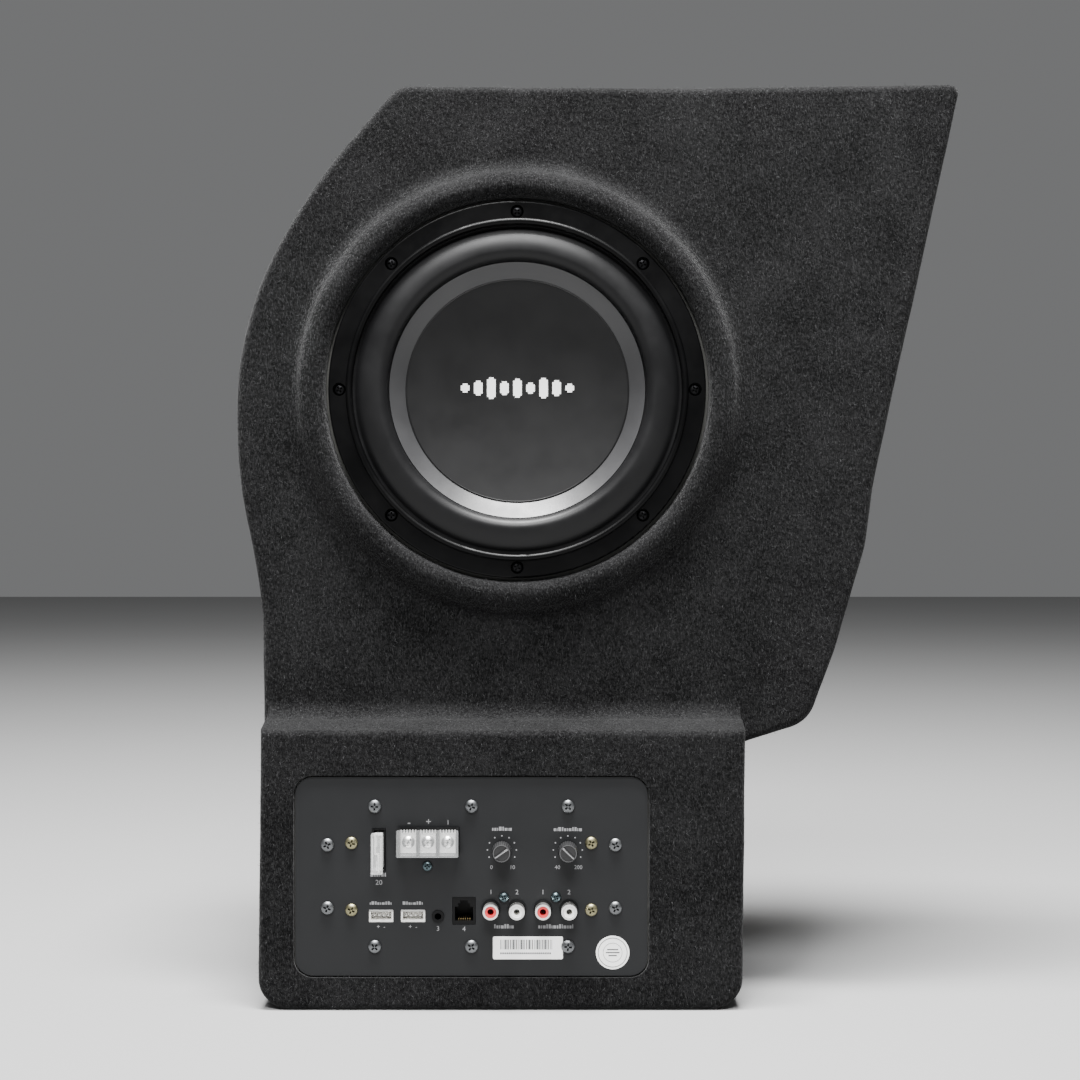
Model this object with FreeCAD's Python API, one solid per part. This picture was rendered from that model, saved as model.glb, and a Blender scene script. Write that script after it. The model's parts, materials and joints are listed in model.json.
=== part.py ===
import FreeCAD, Part
import math
import os
from FreeCAD import Vector

# Powered car subwoofer: a carpeted moulded enclosure for one 8 inch driver above an amplifier box.
# Millimetres. +Z is up, the driver and the amplifier plate face -Y, and X runs to the right as
# seen from the front. The origin is under the middle of the whole object, at the height of its base.

# Depths along Y
BACK_Y = 83.5             # flat back
FACE_Y = -41.5            # upper face, where the driver is
BAY_Y = -71.5             # front of the amplifier box
PLATE_Y = BAY_Y + 1.5     # front of the amplifier plate, a little below the carpet

# Enclosure layers
CARPET = 2.5
WALL = 5.0
INSIDE = CARPET + WALL    # from the carpet's surface to the inside of the shell
BOARD = 12.0              # thickness of the wooden pieces
FRONT_EDGE_R = 4.5        # rounding of the carpet's front edges

# Outline of the enclosure seen from the front: corner x, corner z, radius of the rounding
OUTLINE = [
    (-110.6, 505.4, 14.0),    # upper left
    (40.0, 503.9, 2500.0),    # the top sags a little
    (202.3, 506.5, 5.0),      # upper right
    (153.6, 284.0, 200.0),
    (148.9, 249.0, 30.0),     # the right side turns in here
    (132.2, 192.0, 60.0),
    (117.3, 152.0, 20.0),     # lower right of the driver part
    (79.5, 140.0, 2.0),       # meets the amplifier box
    (77.6, 0.0, 17.0),
    (-183.8, 0.0, 17.0),
    (-185.6, 219.7, 250.0),   # waist, hollow
    (-200.0, 292.0, 250.0),
    (-200.0, 376.3, 190.0),   # the big round shoulder
    (-157.3, 451.4, 300.0),
]
BAY_OUTLINE = [
    (-182.0, 180.0, 1.0),
    (79.5, 180.0, 1.0),
    (77.6, 0.0, 17.0),
    (-183.6, 0.0, 17.0),
]
LEDGE_FRONT_Z = 150.0
LEDGE_BACK_Z = 154.5
COVE_R = 10.0
BAY_EDGE_R = 4.0

# Driver: radii about its axis, heights h in front of the upper face
DRIVER_X = -44.2
DRIVER_Z = 336.0
SWELL_TOE_R = 129.5
SWELL_CREST_R = 112.5
SWELL_HEIGHT = 9.5
SWELL_ARC_R = ((SWELL_TOE_R - SWELL_CREST_R) ** 2 + SWELL_HEIGHT ** 2) / (4.0 * SWELL_HEIGHT)
SWELL_LIP_R = 6.5
SEAT_H = -1.0             # the driver's seat on the shell
CUTOUT_R = 92.0
FLANGE_R = 103.5
SCREW_CIRCLE_R = 98.0
DRIVER_SCREWS = 8
CONE_R = 70.7
CONE_EDGE_H = 2.0
CONE_NECK_R = 25.6
CONE_SLOPE = 0.8
CAP_R = 62.2
CAP_DISH = 5.4            # how deep the dust cap is dished
CAP_T = 0.7
ROLL_R = 77.0             # crest of the surround's roll: steep inside, gentle outside
ROLL_H = 7.6
ROLL_INSIDE = 6.0         # radius of its inner side
ROLL_OUTSIDE = 19.28      # radius of its outer side
RUBBER = 1.0
COIL_R = 25.0             # inside of the voice coil former
MAGNET_R = 60.0
MAGNET_FRONT_H = -60.0
MAGNET_BACK_H = -80.0
TERMINAL_R = 84.0         # the driver's terminals hang below its basket
TERMINAL_H = -26.0

# Amplifier plate, and the places of its parts from its middle: u to the right, w up
PLATE_X = -68.5
PLATE_Z = 72.0
PLATE_W = 189.5
PLATE_H = 107.0
PLATE_T = 2.0
PLATE_R = 9.5
SEAL_T = 1.0
OPENING_W = 146.0
OPENING_H = 67.0
PERIMETER_SCREWS = [
    (-52.0, 37.7), (0.0, 37.7), (52.0, 37.7), (-52.0, -37.7), (0.0, -37.7), (52.0, -37.7),
    (-77.5, 17.0), (-77.5, -17.0), (77.5, 17.0), (77.5, -17.0),
]
BRACKET_SCREWS = [(-64.5, 18.0), (-64.5, -18.0), (64.5, 18.0), (64.5, -18.0)]
BLOCK_SCREWS = [(-23.7, 5.6), (17.5, -11.2), (45.5, -11.2)]
TERMINAL = (-23.1, 19.2)
TERMINAL_WALL = 1.4
TERMINAL_CELL = (33.0 - TERMINAL_WALL) / 3
TERMINAL_REACH = 10.0     # how far the barriers stand out of the plate
FUSE = (-49.8, 14.2)
KNOBS = {"volume": (16.4, 14.0), "frequency": (51.9, 14.0)}
POINTERS = {"volume": 214.0, "frequency": -43.0}    # degrees, anticlockwise from the right
HEADERS = {"input": (-31.5, -21.5), "output": (-48.7, -21.5)}
AUX = (-18.0, -21.5)
REMOTE = (-4.0, -18.6)
JACKS = [(10.5 + 14.0 * i, -17.7) for i in range(4)]
JACK_R = 4.15
JACK_REACH = 8.5
JACK_COLLAR = 2.0         # how far the black collars round the phono sockets stand out
JACK_COLLAR_R = 5.0
JACK_STEP = 0.1           # the shells are thinner where they sit in the collars
JACK_CORE_R = 3.1         # coloured cores of the phono sockets
JACK_PIN_R = 1.7          # hole for the plug's centre pin
JACK_PIN_DEPTH = 6.0      # how far behind the plate's face that hole ends
CODE_LABEL = (30.4, -38.5)
CODE_LABEL_W = 37.6
CODE_LABEL_H = 12.2
SEAL_LABEL = (76.0, -41.0)
SEAL_LABEL_R = 9.0
LABEL_T = 0.12
BOARD_W = -28.5           # height of the main circuit board

# Back panel
INSERT_X = -30.0
INSERT_Z = 320.0
INSERT_SPACING_X = 180.0
INSERT_SPACING_Z = 200.0
BACK_SCREWS = [
    (-90.0, 492.0), (20.0, 492.0), (130.0, 492.0), (164.0, 410.0), (144.0, 310.0), (121.0, 215.0),
    (65.0, 60.0), (0.0, 14.0), (-100.0, 14.0), (-171.5, 60.0), (-171.5, 190.0), (-185.0, 310.0),
    (-165.0, 412.0),
]

# Speaker lead, from the circuit board up through the divider to the driver
LEAD_D = 2.4
LEAD_PITCH = 3.4
LEAD_X = DRIVER_X - LEAD_PITCH / 2
LEAD_Y = FACE_Y - TERMINAL_H + 12.0
TINSEL_D = 1.4
DIVIDER_Z = 127.0         # underside of the shelf between the amplifier and the driver's air


def block(x0, x1, y0, y1, z0, z1):
    """Box between two corners."""
    return Part.makeBox(x1 - x0, y1 - y0, z1 - z0, Vector(x0, y0, z0))


def rod(x, z, radius, y0, y1):
    """Cylinder along Y."""
    return Part.makeCylinder(radius, y1 - y0, Vector(x, y0, z), Vector(0, 1, 0))


def post(x, y, radius, z0, z1):
    """Cylinder along Z."""
    return Part.makeCylinder(radius, z1 - z0, Vector(x, y, z0))


def together(shapes):
    """One solid out of touching or overlapping ones."""
    first, *rest = shapes
    return first.multiFuse(rest).removeSplitter() if rest else first


def group(shapes):
    """Separate solids kept side by side in one node."""
    return Part.makeCompound([solid for shape in shapes for solid in shape.Solids])


def rounded_face(corners):
    """Flat face in the plane y = 0 whose corners (x, z, radius) are rounded by tangent arcs."""
    points = [Vector(x, 0, z) for x, z, _ in corners]
    arcs = []
    for i, (_, _, radius) in enumerate(corners):
        corner = points[i]
        back = (points[i - 1] - corner).normalize()
        ahead = (points[(i + 1) % len(points)] - corner).normalize()
        half = back.getAngle(ahead) / 2
        run = radius / math.tan(half)
        centre = corner + (back + ahead).normalize() * (radius / math.sin(half))
        middle = centre + (corner - centre).normalize() * radius
        arcs.append((corner + back * run, middle, corner + ahead * run))
    edges = []
    for i, (start, middle, end) in enumerate(arcs):
        edges.append(Part.Arc(start, middle, end).toShape())
        edges.append(Part.LineSegment(end, arcs[(i + 1) % len(arcs)][0]).toShape())
    return Part.Face(Part.Wire(edges))


def prism(face, y0, y1):
    """Push a face drawn in the plane y = 0 from y0 to y1."""
    moved = face.copy()
    moved.translate(Vector(0, y0, 0))
    return moved.extrude(Vector(0, y1 - y0, 0))


def slab(x, z, width, height, radius, y0, y1):
    """Plate with rounded corners, centred on x and z."""
    left, right, low, high = x - width / 2, x + width / 2, z - height / 2, z + height / 2
    corners = [(left, high, radius), (right, high, radius), (right, low, radius), (left, low, radius)]
    return prism(rounded_face(corners), y0, y1)


def outline(inset):
    """The enclosure's outline, pulled in all round."""
    face = rounded_face(OUTLINE)
    return face.makeOffset2D(-inset) if inset else face


def profile(start, steps, place):
    """Closed face from points; a step that is a pair of points is an arc through the first."""
    edges = []
    first = here = place(*start)
    for step in steps:
        if isinstance(step[0], tuple):
            via, end = place(*step[0]), place(*step[1])
            edges.append(Part.Arc(here, via, end).toShape())
        else:
            end = place(*step)
            edges.append(Part.LineSegment(here, end).toShape())
        here = end
    if here.distanceToPoint(first) > 1e-6:
        edges.append(Part.LineSegment(here, first).toShape())
    return Part.Face(Part.Wire(edges))


def on_driver(radius, height):
    """Point on the driver's half section."""
    return Vector(DRIVER_X + radius, FACE_Y - height, DRIVER_Z)


def turned(start, *steps):
    """Solid of revolution about the driver's axis from its half section (radius, height)."""
    face = profile(start, steps, on_driver)
    return face.revolve(Vector(DRIVER_X, 0, DRIVER_Z), Vector(0, 1, 0), 360)


def around_driver(count, radius, first=0.0):
    """Places (x, z) evenly round the driver."""
    angles = [math.radians(first + 360.0 * i / count) for i in range(count)]
    return [(DRIVER_X + radius * math.cos(a), DRIVER_Z + radius * math.sin(a)) for a in angles]


def on_plate(u, w):
    """Place (x, z) of a point of the amplifier plate."""
    return PLATE_X + u, PLATE_Z + w


def screw(x, z, face_y, head_r, head_h, shank_r, length, toward=-1):
    """Pan head screw with a cross recess; its head stands from face_y towards -Y or +Y."""
    def place(radius, height):
        return Vector(x + radius, face_y + toward * height, z)

    section = profile(
        (0, -length),
        [(shank_r * 0.3, -length), (shank_r, 2 * shank_r - length), (shank_r, 0), (head_r, 0),
         (head_r, head_h * 0.35), ((head_r * 0.72, head_h * 0.86), (0, head_h))],
        place,
    )
    solid = section.revolve(Vector(x, 0, z), Vector(0, 1, 0), 360)
    arm, half = head_r * 0.55, head_r * 0.13
    top, floor = face_y + toward * (head_h + 1), face_y + toward * head_h * 0.3
    low, high = min(top, floor), max(top, floor)
    cross = block(x - arm, x + arm, low, high, z - half, z + half)
    cross = cross.fuse(block(x - half, x + half, low, high, z - arm, z + arm))
    return solid.cut(cross)


def front_edges(shape, y):
    """Edges of a shape that lie wholly in the plane at y."""
    return [e for e in shape.Edges if abs(e.BoundBox.YMin - y) < 0.01 and abs(e.BoundBox.YMax - y) < 0.01]


def body_block(inset, back):
    """The driver part, full outline, with rounded front edges."""
    front = FACE_Y + inset
    shape = prism(outline(inset), front, back)
    radius = FRONT_EDGE_R - inset
    return shape.makeFillet(radius, front_edges(shape, front)) if radius > 0.5 else shape


def bay_block(inset, back):
    """The amplifier box in front of the driver part, with its sloping ledge and hollow corner."""
    front = BAY_Y + inset
    top = LEDGE_BACK_Z + COVE_R
    centre_y = FACE_Y - COVE_R
    reach = COVE_R + inset
    bend = reach * math.sqrt(0.5)

    def place(y, z):
        return Vector(BAY_OUTLINE[0][0] - 50, y, z)

    side = profile(
        (front, inset),
        [(front, LEDGE_FRONT_Z - inset), (centre_y, top - reach),
         ((centre_y + bend, top - bend), (centre_y + reach, top)), (back, top), (back, inset)],
        place,
    )
    swept = side.extrude(Vector(400, 0, 0))
    face = rounded_face(BAY_OUTLINE)
    shape = swept.common(prism(face.makeOffset2D(-inset) if inset else face, front - 1, back))
    radius = BAY_EDGE_R - inset
    return shape.makeFillet(radius, front_edges(shape, front)) if radius > 0.5 else shape


def swell(inset):
    """The round swelling that carries the driver, a pair of equal arcs outside and a lip inside."""
    run = SWELL_TOE_R - SWELL_CREST_R
    angle = math.asin(run / 2 / SWELL_ARC_R)
    convex, concave, lip = SWELL_ARC_R - inset, SWELL_ARC_R + inset, SWELL_LIP_R - inset
    crest_h, lip_h = SWELL_HEIGHT - SWELL_ARC_R, SWELL_HEIGHT - SWELL_LIP_R

    def crest(a):
        return SWELL_CREST_R + convex * math.sin(a), crest_h + convex * math.cos(a)

    def toe(a):
        return SWELL_TOE_R - concave * math.sin(a), SWELL_ARC_R - concave * math.cos(a)

    top = (SWELL_CREST_R, SWELL_HEIGHT - inset)
    outside = [top, (crest(angle / 2), crest(angle)), (toe(angle / 2), toe(0)), (SWELL_TOE_R, -12)]
    if lip < 0.5:
        return turned(*outside, (SWELL_CREST_R, -12))
    bend = lip * math.sqrt(0.5)
    inside = [
        (SWELL_CREST_R - lip, -12),
        (SWELL_CREST_R - lip, lip_h),
        ((SWELL_CREST_R - bend, lip_h + bend), top),
    ]
    return turned(*outside, *inside)


def envelope(inset, back):
    """Everything inside the carpet's surface, pulled in by inset."""
    return together([body_block(inset, back), bay_block(inset, back), swell(inset)])


def driver_hole(radius, h0, h1):
    """Cylinder on the driver's axis between two heights."""
    return rod(DRIVER_X, DRIVER_Z, radius, FACE_Y - h1, FACE_Y - h0)


def screw_holes(places, radius, y0, y1):
    """Clearance holes to cut."""
    return [rod(x, z, radius, y0, y1) for x, z in places]


def make_carpet():
    """Needle felt wrapped over the shell and turned in round the back."""
    skin = envelope(0.0, BACK_Y).cut(envelope(CARPET, BACK_Y - CARPET))
    rebate = slab(PLATE_X, PLATE_Z, PLATE_W + 1.6, PLATE_H + 1.6, PLATE_R + 0.8, BAY_Y - 1, BAY_Y + 8)
    open_back = prism(outline(INSIDE), BACK_Y - 5, BACK_Y + 5)
    opening_r = SWELL_CREST_R - SWELL_LIP_R
    return skin.cut([driver_hole(opening_r + 0.01, -8, 30), rebate, open_back])


def make_front_shell():
    """Moulded glass fibre shell, open at the back, with the driver's seat and the plate's rebate."""
    seat_r = SWELL_CREST_R - SWELL_LIP_R - 0.05
    outer = envelope(CARPET, BACK_Y - CARPET)
    outer = outer.fuse(driver_hole(seat_r, -9, SEAT_H))
    shell = outer.cut(envelope(INSIDE, BACK_Y + 5))
    floor_y = PLATE_Y + PLATE_T + SEAL_T
    rebate = slab(PLATE_X, PLATE_Z, PLATE_W + 1.6, PLATE_H + 1.6, PLATE_R + 0.8, BAY_Y, floor_y)
    opening = slab(PLATE_X, PLATE_Z, OPENING_W, OPENING_H, 4, BAY_Y, BAY_Y + 30)
    holes = screw_holes(around_driver(DRIVER_SCREWS, SCREW_CIRCLE_R), 2.3, FACE_Y - 9, FACE_Y + 12)
    holes += screw_holes([on_plate(u, w) for u, w in PERIMETER_SCREWS], 1.9, BAY_Y, BAY_Y + 12)
    return shell.cut([driver_hole(CUTOUT_R, -20, 30), rebate, opening, *holes])


def make_driver_ring():
    """Plywood ring behind the seat, which the driver's screws bite into."""
    front, back, outer = -INSIDE, -INSIDE - BOARD, 110
    ring = turned((CUTOUT_R, back), (outer, back), (outer, front), (CUTOUT_R, front))
    holes = screw_holes(around_driver(DRIVER_SCREWS, SCREW_CIRCLE_R), 2.05, FACE_Y, FACE_Y + 25)
    return ring.cut(holes)


def make_batten_frame():
    """Wooden frame inside the shell's back edge, which the back panel is screwed to."""
    y0, y1 = BACK_Y - 29, BACK_Y - 14
    frame = prism(outline(INSIDE + 0.05), y0, y1).cut(prism(outline(INSIDE + 14), y0 - 1, y1 + 1))
    return frame.cut(screw_holes(BACK_SCREWS, 2.05, y0 - 1, y1 + 1))


def insert_places():
    """The four threaded inserts of the back panel."""
    half_x, half_z = INSERT_SPACING_X / 2, INSERT_SPACING_Z / 2
    return [(INSERT_X + sx * half_x, INSERT_Z + sz * half_z) for sx in (-1, 1) for sz in (-1, 1)]


def make_back_panel():
    """Flat panel set into the back."""
    y0, y1 = BACK_Y - 14, BACK_Y - 2
    panel = prism(outline(INSIDE + 0.2), y0, y1)
    holes = screw_holes(BACK_SCREWS, 2.3, y0 - 1, y1 + 1)
    holes += screw_holes(insert_places(), 4.0, y0 - 1, y1 + 1)
    return panel.cut(holes)


def make_threaded_insert():
    """M6 insert with a flange on the inside of the back panel."""
    y0, y1 = BACK_Y - 14, BACK_Y - 2
    shape = rod(0, 0, 4.0, y0, y1).fuse(rod(0, 0, 8.0, y0 - 1.5, y0))
    return shape.cut(rod(0, 0, 2.5, y0 - 3, y1 + 1))


def make_threaded_inserts():
    """The four inserts that bolt the enclosure to the vehicle."""
    solids = []
    for x, z in insert_places():
        insert = make_threaded_insert()
        insert.translate(Vector(x, 0, z))
        solids.append(insert)
    return group(solids)


def make_divider():
    """Shelf that parts the amplifier's bay from the driver's air."""
    low, high = DIVIDER_Z, DIVIDER_Z + BOARD
    shelf = block(-220, 150, BAY_Y, BACK_Y - 14, low, high)
    shelf = shelf.common(envelope(INSIDE + 0.05, BACK_Y))
    frame = prism(outline(0), BACK_Y - 29.05, BACK_Y)
    frame = frame.cut(prism(outline(INSIDE + 14.05), BACK_Y - 40, BACK_Y))
    return shelf.cut([frame, post(LEAD_X + LEAD_PITCH / 2, LEAD_Y, 6.0, low - 1, high + 1)])


def make_lead_grommet():
    """Rubber grommet that seals the speaker lead where it goes through the divider."""
    low, high = DIVIDER_Z, DIVIDER_Z + BOARD
    x = LEAD_X + LEAD_PITCH / 2
    body = post(x, LEAD_Y, 5.95, low, high).fuse(post(x, LEAD_Y, 8.5, high, high + 2))
    hole_r = LEAD_D / 2 + 0.02
    holes = [post(LEAD_X + i * LEAD_PITCH, LEAD_Y, hole_r, low - 1, high + 3) for i in range(2)]
    return body.cut(holes)


def make_amp_frame():
    """Wooden frame glued behind the shell round the amplifier's opening."""
    y0, y1 = BAY_Y + INSIDE, BAY_Y + INSIDE + BOARD
    frame = slab(PLATE_X, PLATE_Z, 194, 107, 6, y0, y1)
    opening = slab(PLATE_X, PLATE_Z, OPENING_W, OPENING_H, 4, y0 - 1, y1 + 1)
    holes = screw_holes([on_plate(u, w) for u, w in PERIMETER_SCREWS], 1.75, y0 - 1, y1 + 1)
    return frame.cut([opening, *holes])


def make_basket():
    """Pressed steel frame of the driver, with windows in its side."""
    basket = turned(
        (FLANGE_R, 0.5), (FLANGE_R, 2), (91, 2), (87.5, -4.5), (67, -39), (57, -39), (50, -50.5),
        (30, -50.5), (30, -52), (51, -52), (58.2, -40.5), (68, -40.5), (89, -5.3), (92, 0.5),
    )
    windows = []
    for i in range(8):
        window = block(48, 100, FACE_Y + 11, FACE_Y + 34, -17, 17)
        window.rotate(Vector(0, 0, 0), Vector(0, 1, 0), 45 * i)
        window.translate(Vector(DRIVER_X, 0, DRIVER_Z))
        windows.append(window)
    holes = screw_holes(around_driver(DRIVER_SCREWS, SCREW_CIRCLE_R), 2.3, FACE_Y - 5, FACE_Y + 5)
    return basket.cut(windows + holes)


def make_basket_seal():
    """Foam ring between the flange and its seat."""
    ring = turned((CUTOUT_R, SEAT_H), (FLANGE_R, SEAT_H), (FLANGE_R, 0.5), (CUTOUT_R, 0.5))
    return ring.cut(screw_holes(around_driver(DRIVER_SCREWS, SCREW_CIRCLE_R), 2.3, FACE_Y - 5, FACE_Y + 5))


def cone_height(radius):
    """Height of the cone's front surface."""
    return CONE_EDGE_H + (radius - CONE_R) * CONE_SLOPE


def roll_height(radius, deeper=0.0):
    """Height of the roll's outer side, or of its back when that is a rubber's thickness deeper."""
    return ROLL_H - ROLL_OUTSIDE + math.sqrt((ROLL_OUTSIDE - deeper) ** 2 - (radius - ROLL_R) ** 2)


def roll_side(deeper=0.0):
    """Middle and inner end of the roll's inner quarter turn."""
    low_h = ROLL_H - ROLL_INSIDE
    bend = ROLL_INSIDE - deeper
    middle = (ROLL_R - bend * math.sqrt(0.5), low_h + bend * math.sqrt(0.5))
    return middle, (ROLL_R - bend, low_h)


def make_surround():
    """Rubber roll between the basket's flange and the cone's edge."""
    glue = 1.5                # below the cone's front: its thickness and a thin line of glue
    front_mid, front_end = roll_side()
    back_mid, back_end = roll_side(RUBBER)
    surround = turned(
        (103, 2), (103, 3), (89.5, 3), ((83.25, roll_height(83.25)), (ROLL_R, ROLL_H)), (front_mid, front_end),
        (front_end[0], cone_height(front_end[0]) - glue), (66, cone_height(66) - glue),
        (66.5, cone_height(66) - glue - 0.8), (back_end[0], cone_height(back_end[0]) - glue - 1.0),
        back_end, (back_mid, (ROLL_R, ROLL_H - RUBBER)), ((83.1, roll_height(83.1, RUBBER)), (89.1, 2.03)),
        (89.3, 2),
    )
    return surround.cut(screw_holes(around_driver(DRIVER_SCREWS, SCREW_CIRCLE_R), 2.3, FACE_Y - 5, FACE_Y))


def make_gasket_ring():
    """Rubber trim ring over the flange, with a bead inside and a well for each screw."""
    ring = turned(
        (90.9, 3.0), (90.9, 6.2), ((92.7, 7.7), (94.5, 6.2)), (103, 6.0),
        ((103.8, 5.7), (104.1, 4.9)), (104.1, 3.0),
    )
    return ring.cut(screw_holes(around_driver(DRIVER_SCREWS, SCREW_CIRCLE_R), 3.6, FACE_Y - 10, FACE_Y))


def make_cone():
    """Straight sided cone."""
    thick = 1.2
    return turned(
        (CONE_NECK_R, cone_height(CONE_NECK_R)), (CONE_R, CONE_EDGE_H), (CONE_R, CONE_EDGE_H - thick),
        (CONE_NECK_R, cone_height(CONE_NECK_R) - thick),
    )


def make_dust_cap():
    """Wide dished disc that covers the middle of the cone."""
    edge_h = cone_height(CAP_R) + 0.4
    sphere_r = (CAP_R ** 2 + CAP_DISH ** 2) / (2 * CAP_DISH)
    centre_h = edge_h - CAP_DISH + sphere_r

    def dished(radius, deeper):
        return centre_h - math.sqrt((sphere_r + deeper) ** 2 - radius ** 2)

    half = CAP_R / 2
    under_r = CAP_R - 0.6
    return turned(
        (0, dished(0, 0)), ((half, dished(half, 0)), (CAP_R, edge_h)), (under_r, dished(under_r, CAP_T)),
        ((half, dished(half, CAP_T)), (0, dished(0, CAP_T))),
    )


def make_former():
    """Tube that carries the voice coil."""
    return turned((COIL_R, -30), (COIL_R + 0.5, -30), (COIL_R + 0.5, -64), (COIL_R, -64))


def make_voice_coil():
    """Copper winding on the former."""
    return turned((COIL_R + 0.55, -49), (COIL_R + 1.9, -49), (COIL_R + 1.9, -63), (COIL_R + 0.55, -63))


def make_spider():
    """Corrugated suspension disc between the former and the basket's shelf."""
    inner_r, wave_r, outer_r = 26.0, 57.0, 65.5
    waves, rise, thick, mid = 4, 1.6, 0.6, -38.4
    step = (wave_r - inner_r) / (2 * waves)
    crests = [(inner_r + step * (i + 1), mid + (rise if i % 2 == 0 else 0.0)) for i in range(2 * waves)]
    upper = [(inner_r, mid), *crests, (outer_r, mid)]
    lower = [(r, h - thick) for r, h in reversed(upper)]
    return turned(upper[0], *upper[1:], *lower)


def make_top_plate():
    """Steel washer in front of the magnet."""
    return turned((27.4, -52), (52, -52), (52, MAGNET_FRONT_H), (27.4, MAGNET_FRONT_H))


def make_magnet():
    """Ferrite ring."""
    front, back, bore = MAGNET_FRONT_H, MAGNET_BACK_H, 32
    return turned((bore, front), (MAGNET_R, front), (MAGNET_R, back), (bore, back))


def make_yoke():
    """Steel back plate with its vented pole."""
    return turned(
        (6, -51), (24.4, -51), (24.4, MAGNET_BACK_H), (52, MAGNET_BACK_H), (52, MAGNET_BACK_H - 8),
        (6, MAGNET_BACK_H - 8),
    )


def make_magnet_boot():
    """Rubber boot over the magnet."""
    inner, outer = MAGNET_R + 0.3, MAGNET_R + 2.3
    back = MAGNET_BACK_H - 8
    return turned((inner, -61), (outer, -61), (outer, back - 2), (20, back - 2), (20, back), (inner, back))


def make_driver_screws():
    """Black screws that hold the driver, sunk in the gasket's wells."""
    places = around_driver(DRIVER_SCREWS, SCREW_CIRCLE_R)
    return group([screw(x, z, FACE_Y - 3.0, 3.3, 1.9, 2.0, 19.0) for x, z in places])


def make_driver_terminals():
    """Board on the basket's side with two solder tags."""
    y = FACE_Y - TERMINAL_H
    z = DRIVER_Z - TERMINAL_R
    board = block(DRIVER_X - 14, DRIVER_X + 14, y - 5, y + 15, z, z + 10)
    tags = [block(DRIVER_X + s * 7 - 2, DRIVER_X + s * 7 + 2, y + 3, y + 9, z - 5, z) for s in (-1, 1)]
    hollow = turned((0, 3), (92.3, 3), (92.3, 0.5), (89.3, -5.3), (68.3, -40.7), (0, -40.7))
    return together([board.cut(hollow), *tags])


def tube(points, diameter):
    """Lead of straight runs joined by tangent arcs, each as large as its runs allow."""
    edges = []
    here = points[0]
    for before, corner, after in zip(points, points[1:], points[2:]):
        back, ahead = (before - corner), (after - corner)
        run = 0.45 * min(back.Length, ahead.Length)
        back.normalize()
        ahead.normalize()
        half = back.getAngle(ahead) / 2
        centre = corner + (back + ahead).normalize() * (run / math.cos(half))
        radius = run * math.tan(half)
        start, end = corner + back * run, corner + ahead * run
        middle = centre + (corner - centre).normalize() * radius
        edges.append(Part.LineSegment(here, start).toShape())
        edges.append(Part.Arc(start, middle, end).toShape())
        here = end
        print(f"bend radius {radius:.1f}")
    edges.append(Part.LineSegment(here, points[-1]).toShape())
    path = Part.Wire(edges)
    ring = Part.Wire(Part.makeCircle(diameter / 2, points[0], points[1] - points[0]))
    solid = path.makePipeShell([ring], True, False)
    expected = path.Length * ring_area(diameter)
    print(f"lead {path.Length:.1f} long, volume {solid.Volume:.1f} of {expected:.1f}")
    return solid


def ring_area(diameter):
    """Area of a round section."""
    return math.pi * diameter ** 2 / 4


def make_speaker_leads():
    """Pair of insulated leads from the circuit board to the driver."""
    board_z = PLATE_Z + BOARD_W + 9.0
    tag_z = DRIVER_Z - TERMINAL_R - 5.8
    solids = []
    for i, tag_x in enumerate((DRIVER_X - 7, DRIVER_X + 7)):
        x = LEAD_X + i * LEAD_PITCH
        spread = tag_x - x
        points = [
            Vector(x, LEAD_Y, board_z),
            Vector(x, LEAD_Y + 0.6, board_z + 28),
            Vector(x, LEAD_Y, board_z + 62),
            Vector(x, LEAD_Y, board_z + 104),
            Vector(x + spread * 0.1, LEAD_Y + 4, board_z + 140),
            Vector(x + spread * 0.7, LEAD_Y + 2, tag_z - 22),
            Vector(tag_x, FACE_Y - TERMINAL_H + 6, tag_z),
        ]
        solids.append(tube(points, LEAD_D))
    return group(solids)


def make_tinsel_leads():
    """Braided leads from the terminals through a basket window to the cone."""
    y = FACE_Y - TERMINAL_H
    solids = []
    for side in (-1, 1):
        x = DRIVER_X + side * 7
        points = [
            Vector(x, y - 2.0, DRIVER_Z - 76.8),
            Vector(x, y + 1.5, DRIVER_Z - 68.0),
            Vector(x, y + 2.0, DRIVER_Z - 58.0),
            Vector(x, y - 1.5, DRIVER_Z - 49.0),
        ]
        solids.append(tube(points, TINSEL_D))
    return group(solids)


def make_amp_plate():
    """Black steel plate that carries the amplifier, with an opening for each part."""
    y0, y1 = PLATE_Y, PLATE_Y + PLATE_T
    plate = slab(PLATE_X, PLATE_Z, PLATE_W, PLATE_H, PLATE_R, y0, y1)

    def window(place, width, height, radius=0.5):
        x, z = on_plate(*place)
        return slab(x, z, width, height, radius, y0 - 1, y1 + 1)

    def hole(place, radius):
        x, z = on_plate(*place)
        return rod(x, z, radius, y0 - 1, y1 + 1)

    cuts = [hole(p, 2.0) for p in PERIMETER_SCREWS + BRACKET_SCREWS]
    cuts += [hole(p, 1.7) for p in BLOCK_SCREWS]
    cuts += [hole(p, JACK_COLLAR_R + 0.1) for p in JACKS]
    cuts += [hole(p, 3.6) for p in KNOBS.values()]
    cuts += [window(p, 13.4, 7.0) for p in HEADERS.values()]
    cuts += [window(FUSE, 7.4, 23.4), window(TERMINAL, 33.4, 14.8), window(REMOTE, 12.6, 15.0)]
    cuts.append(hole(AUX, 3.4))
    return plate.cut(cuts)


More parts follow.
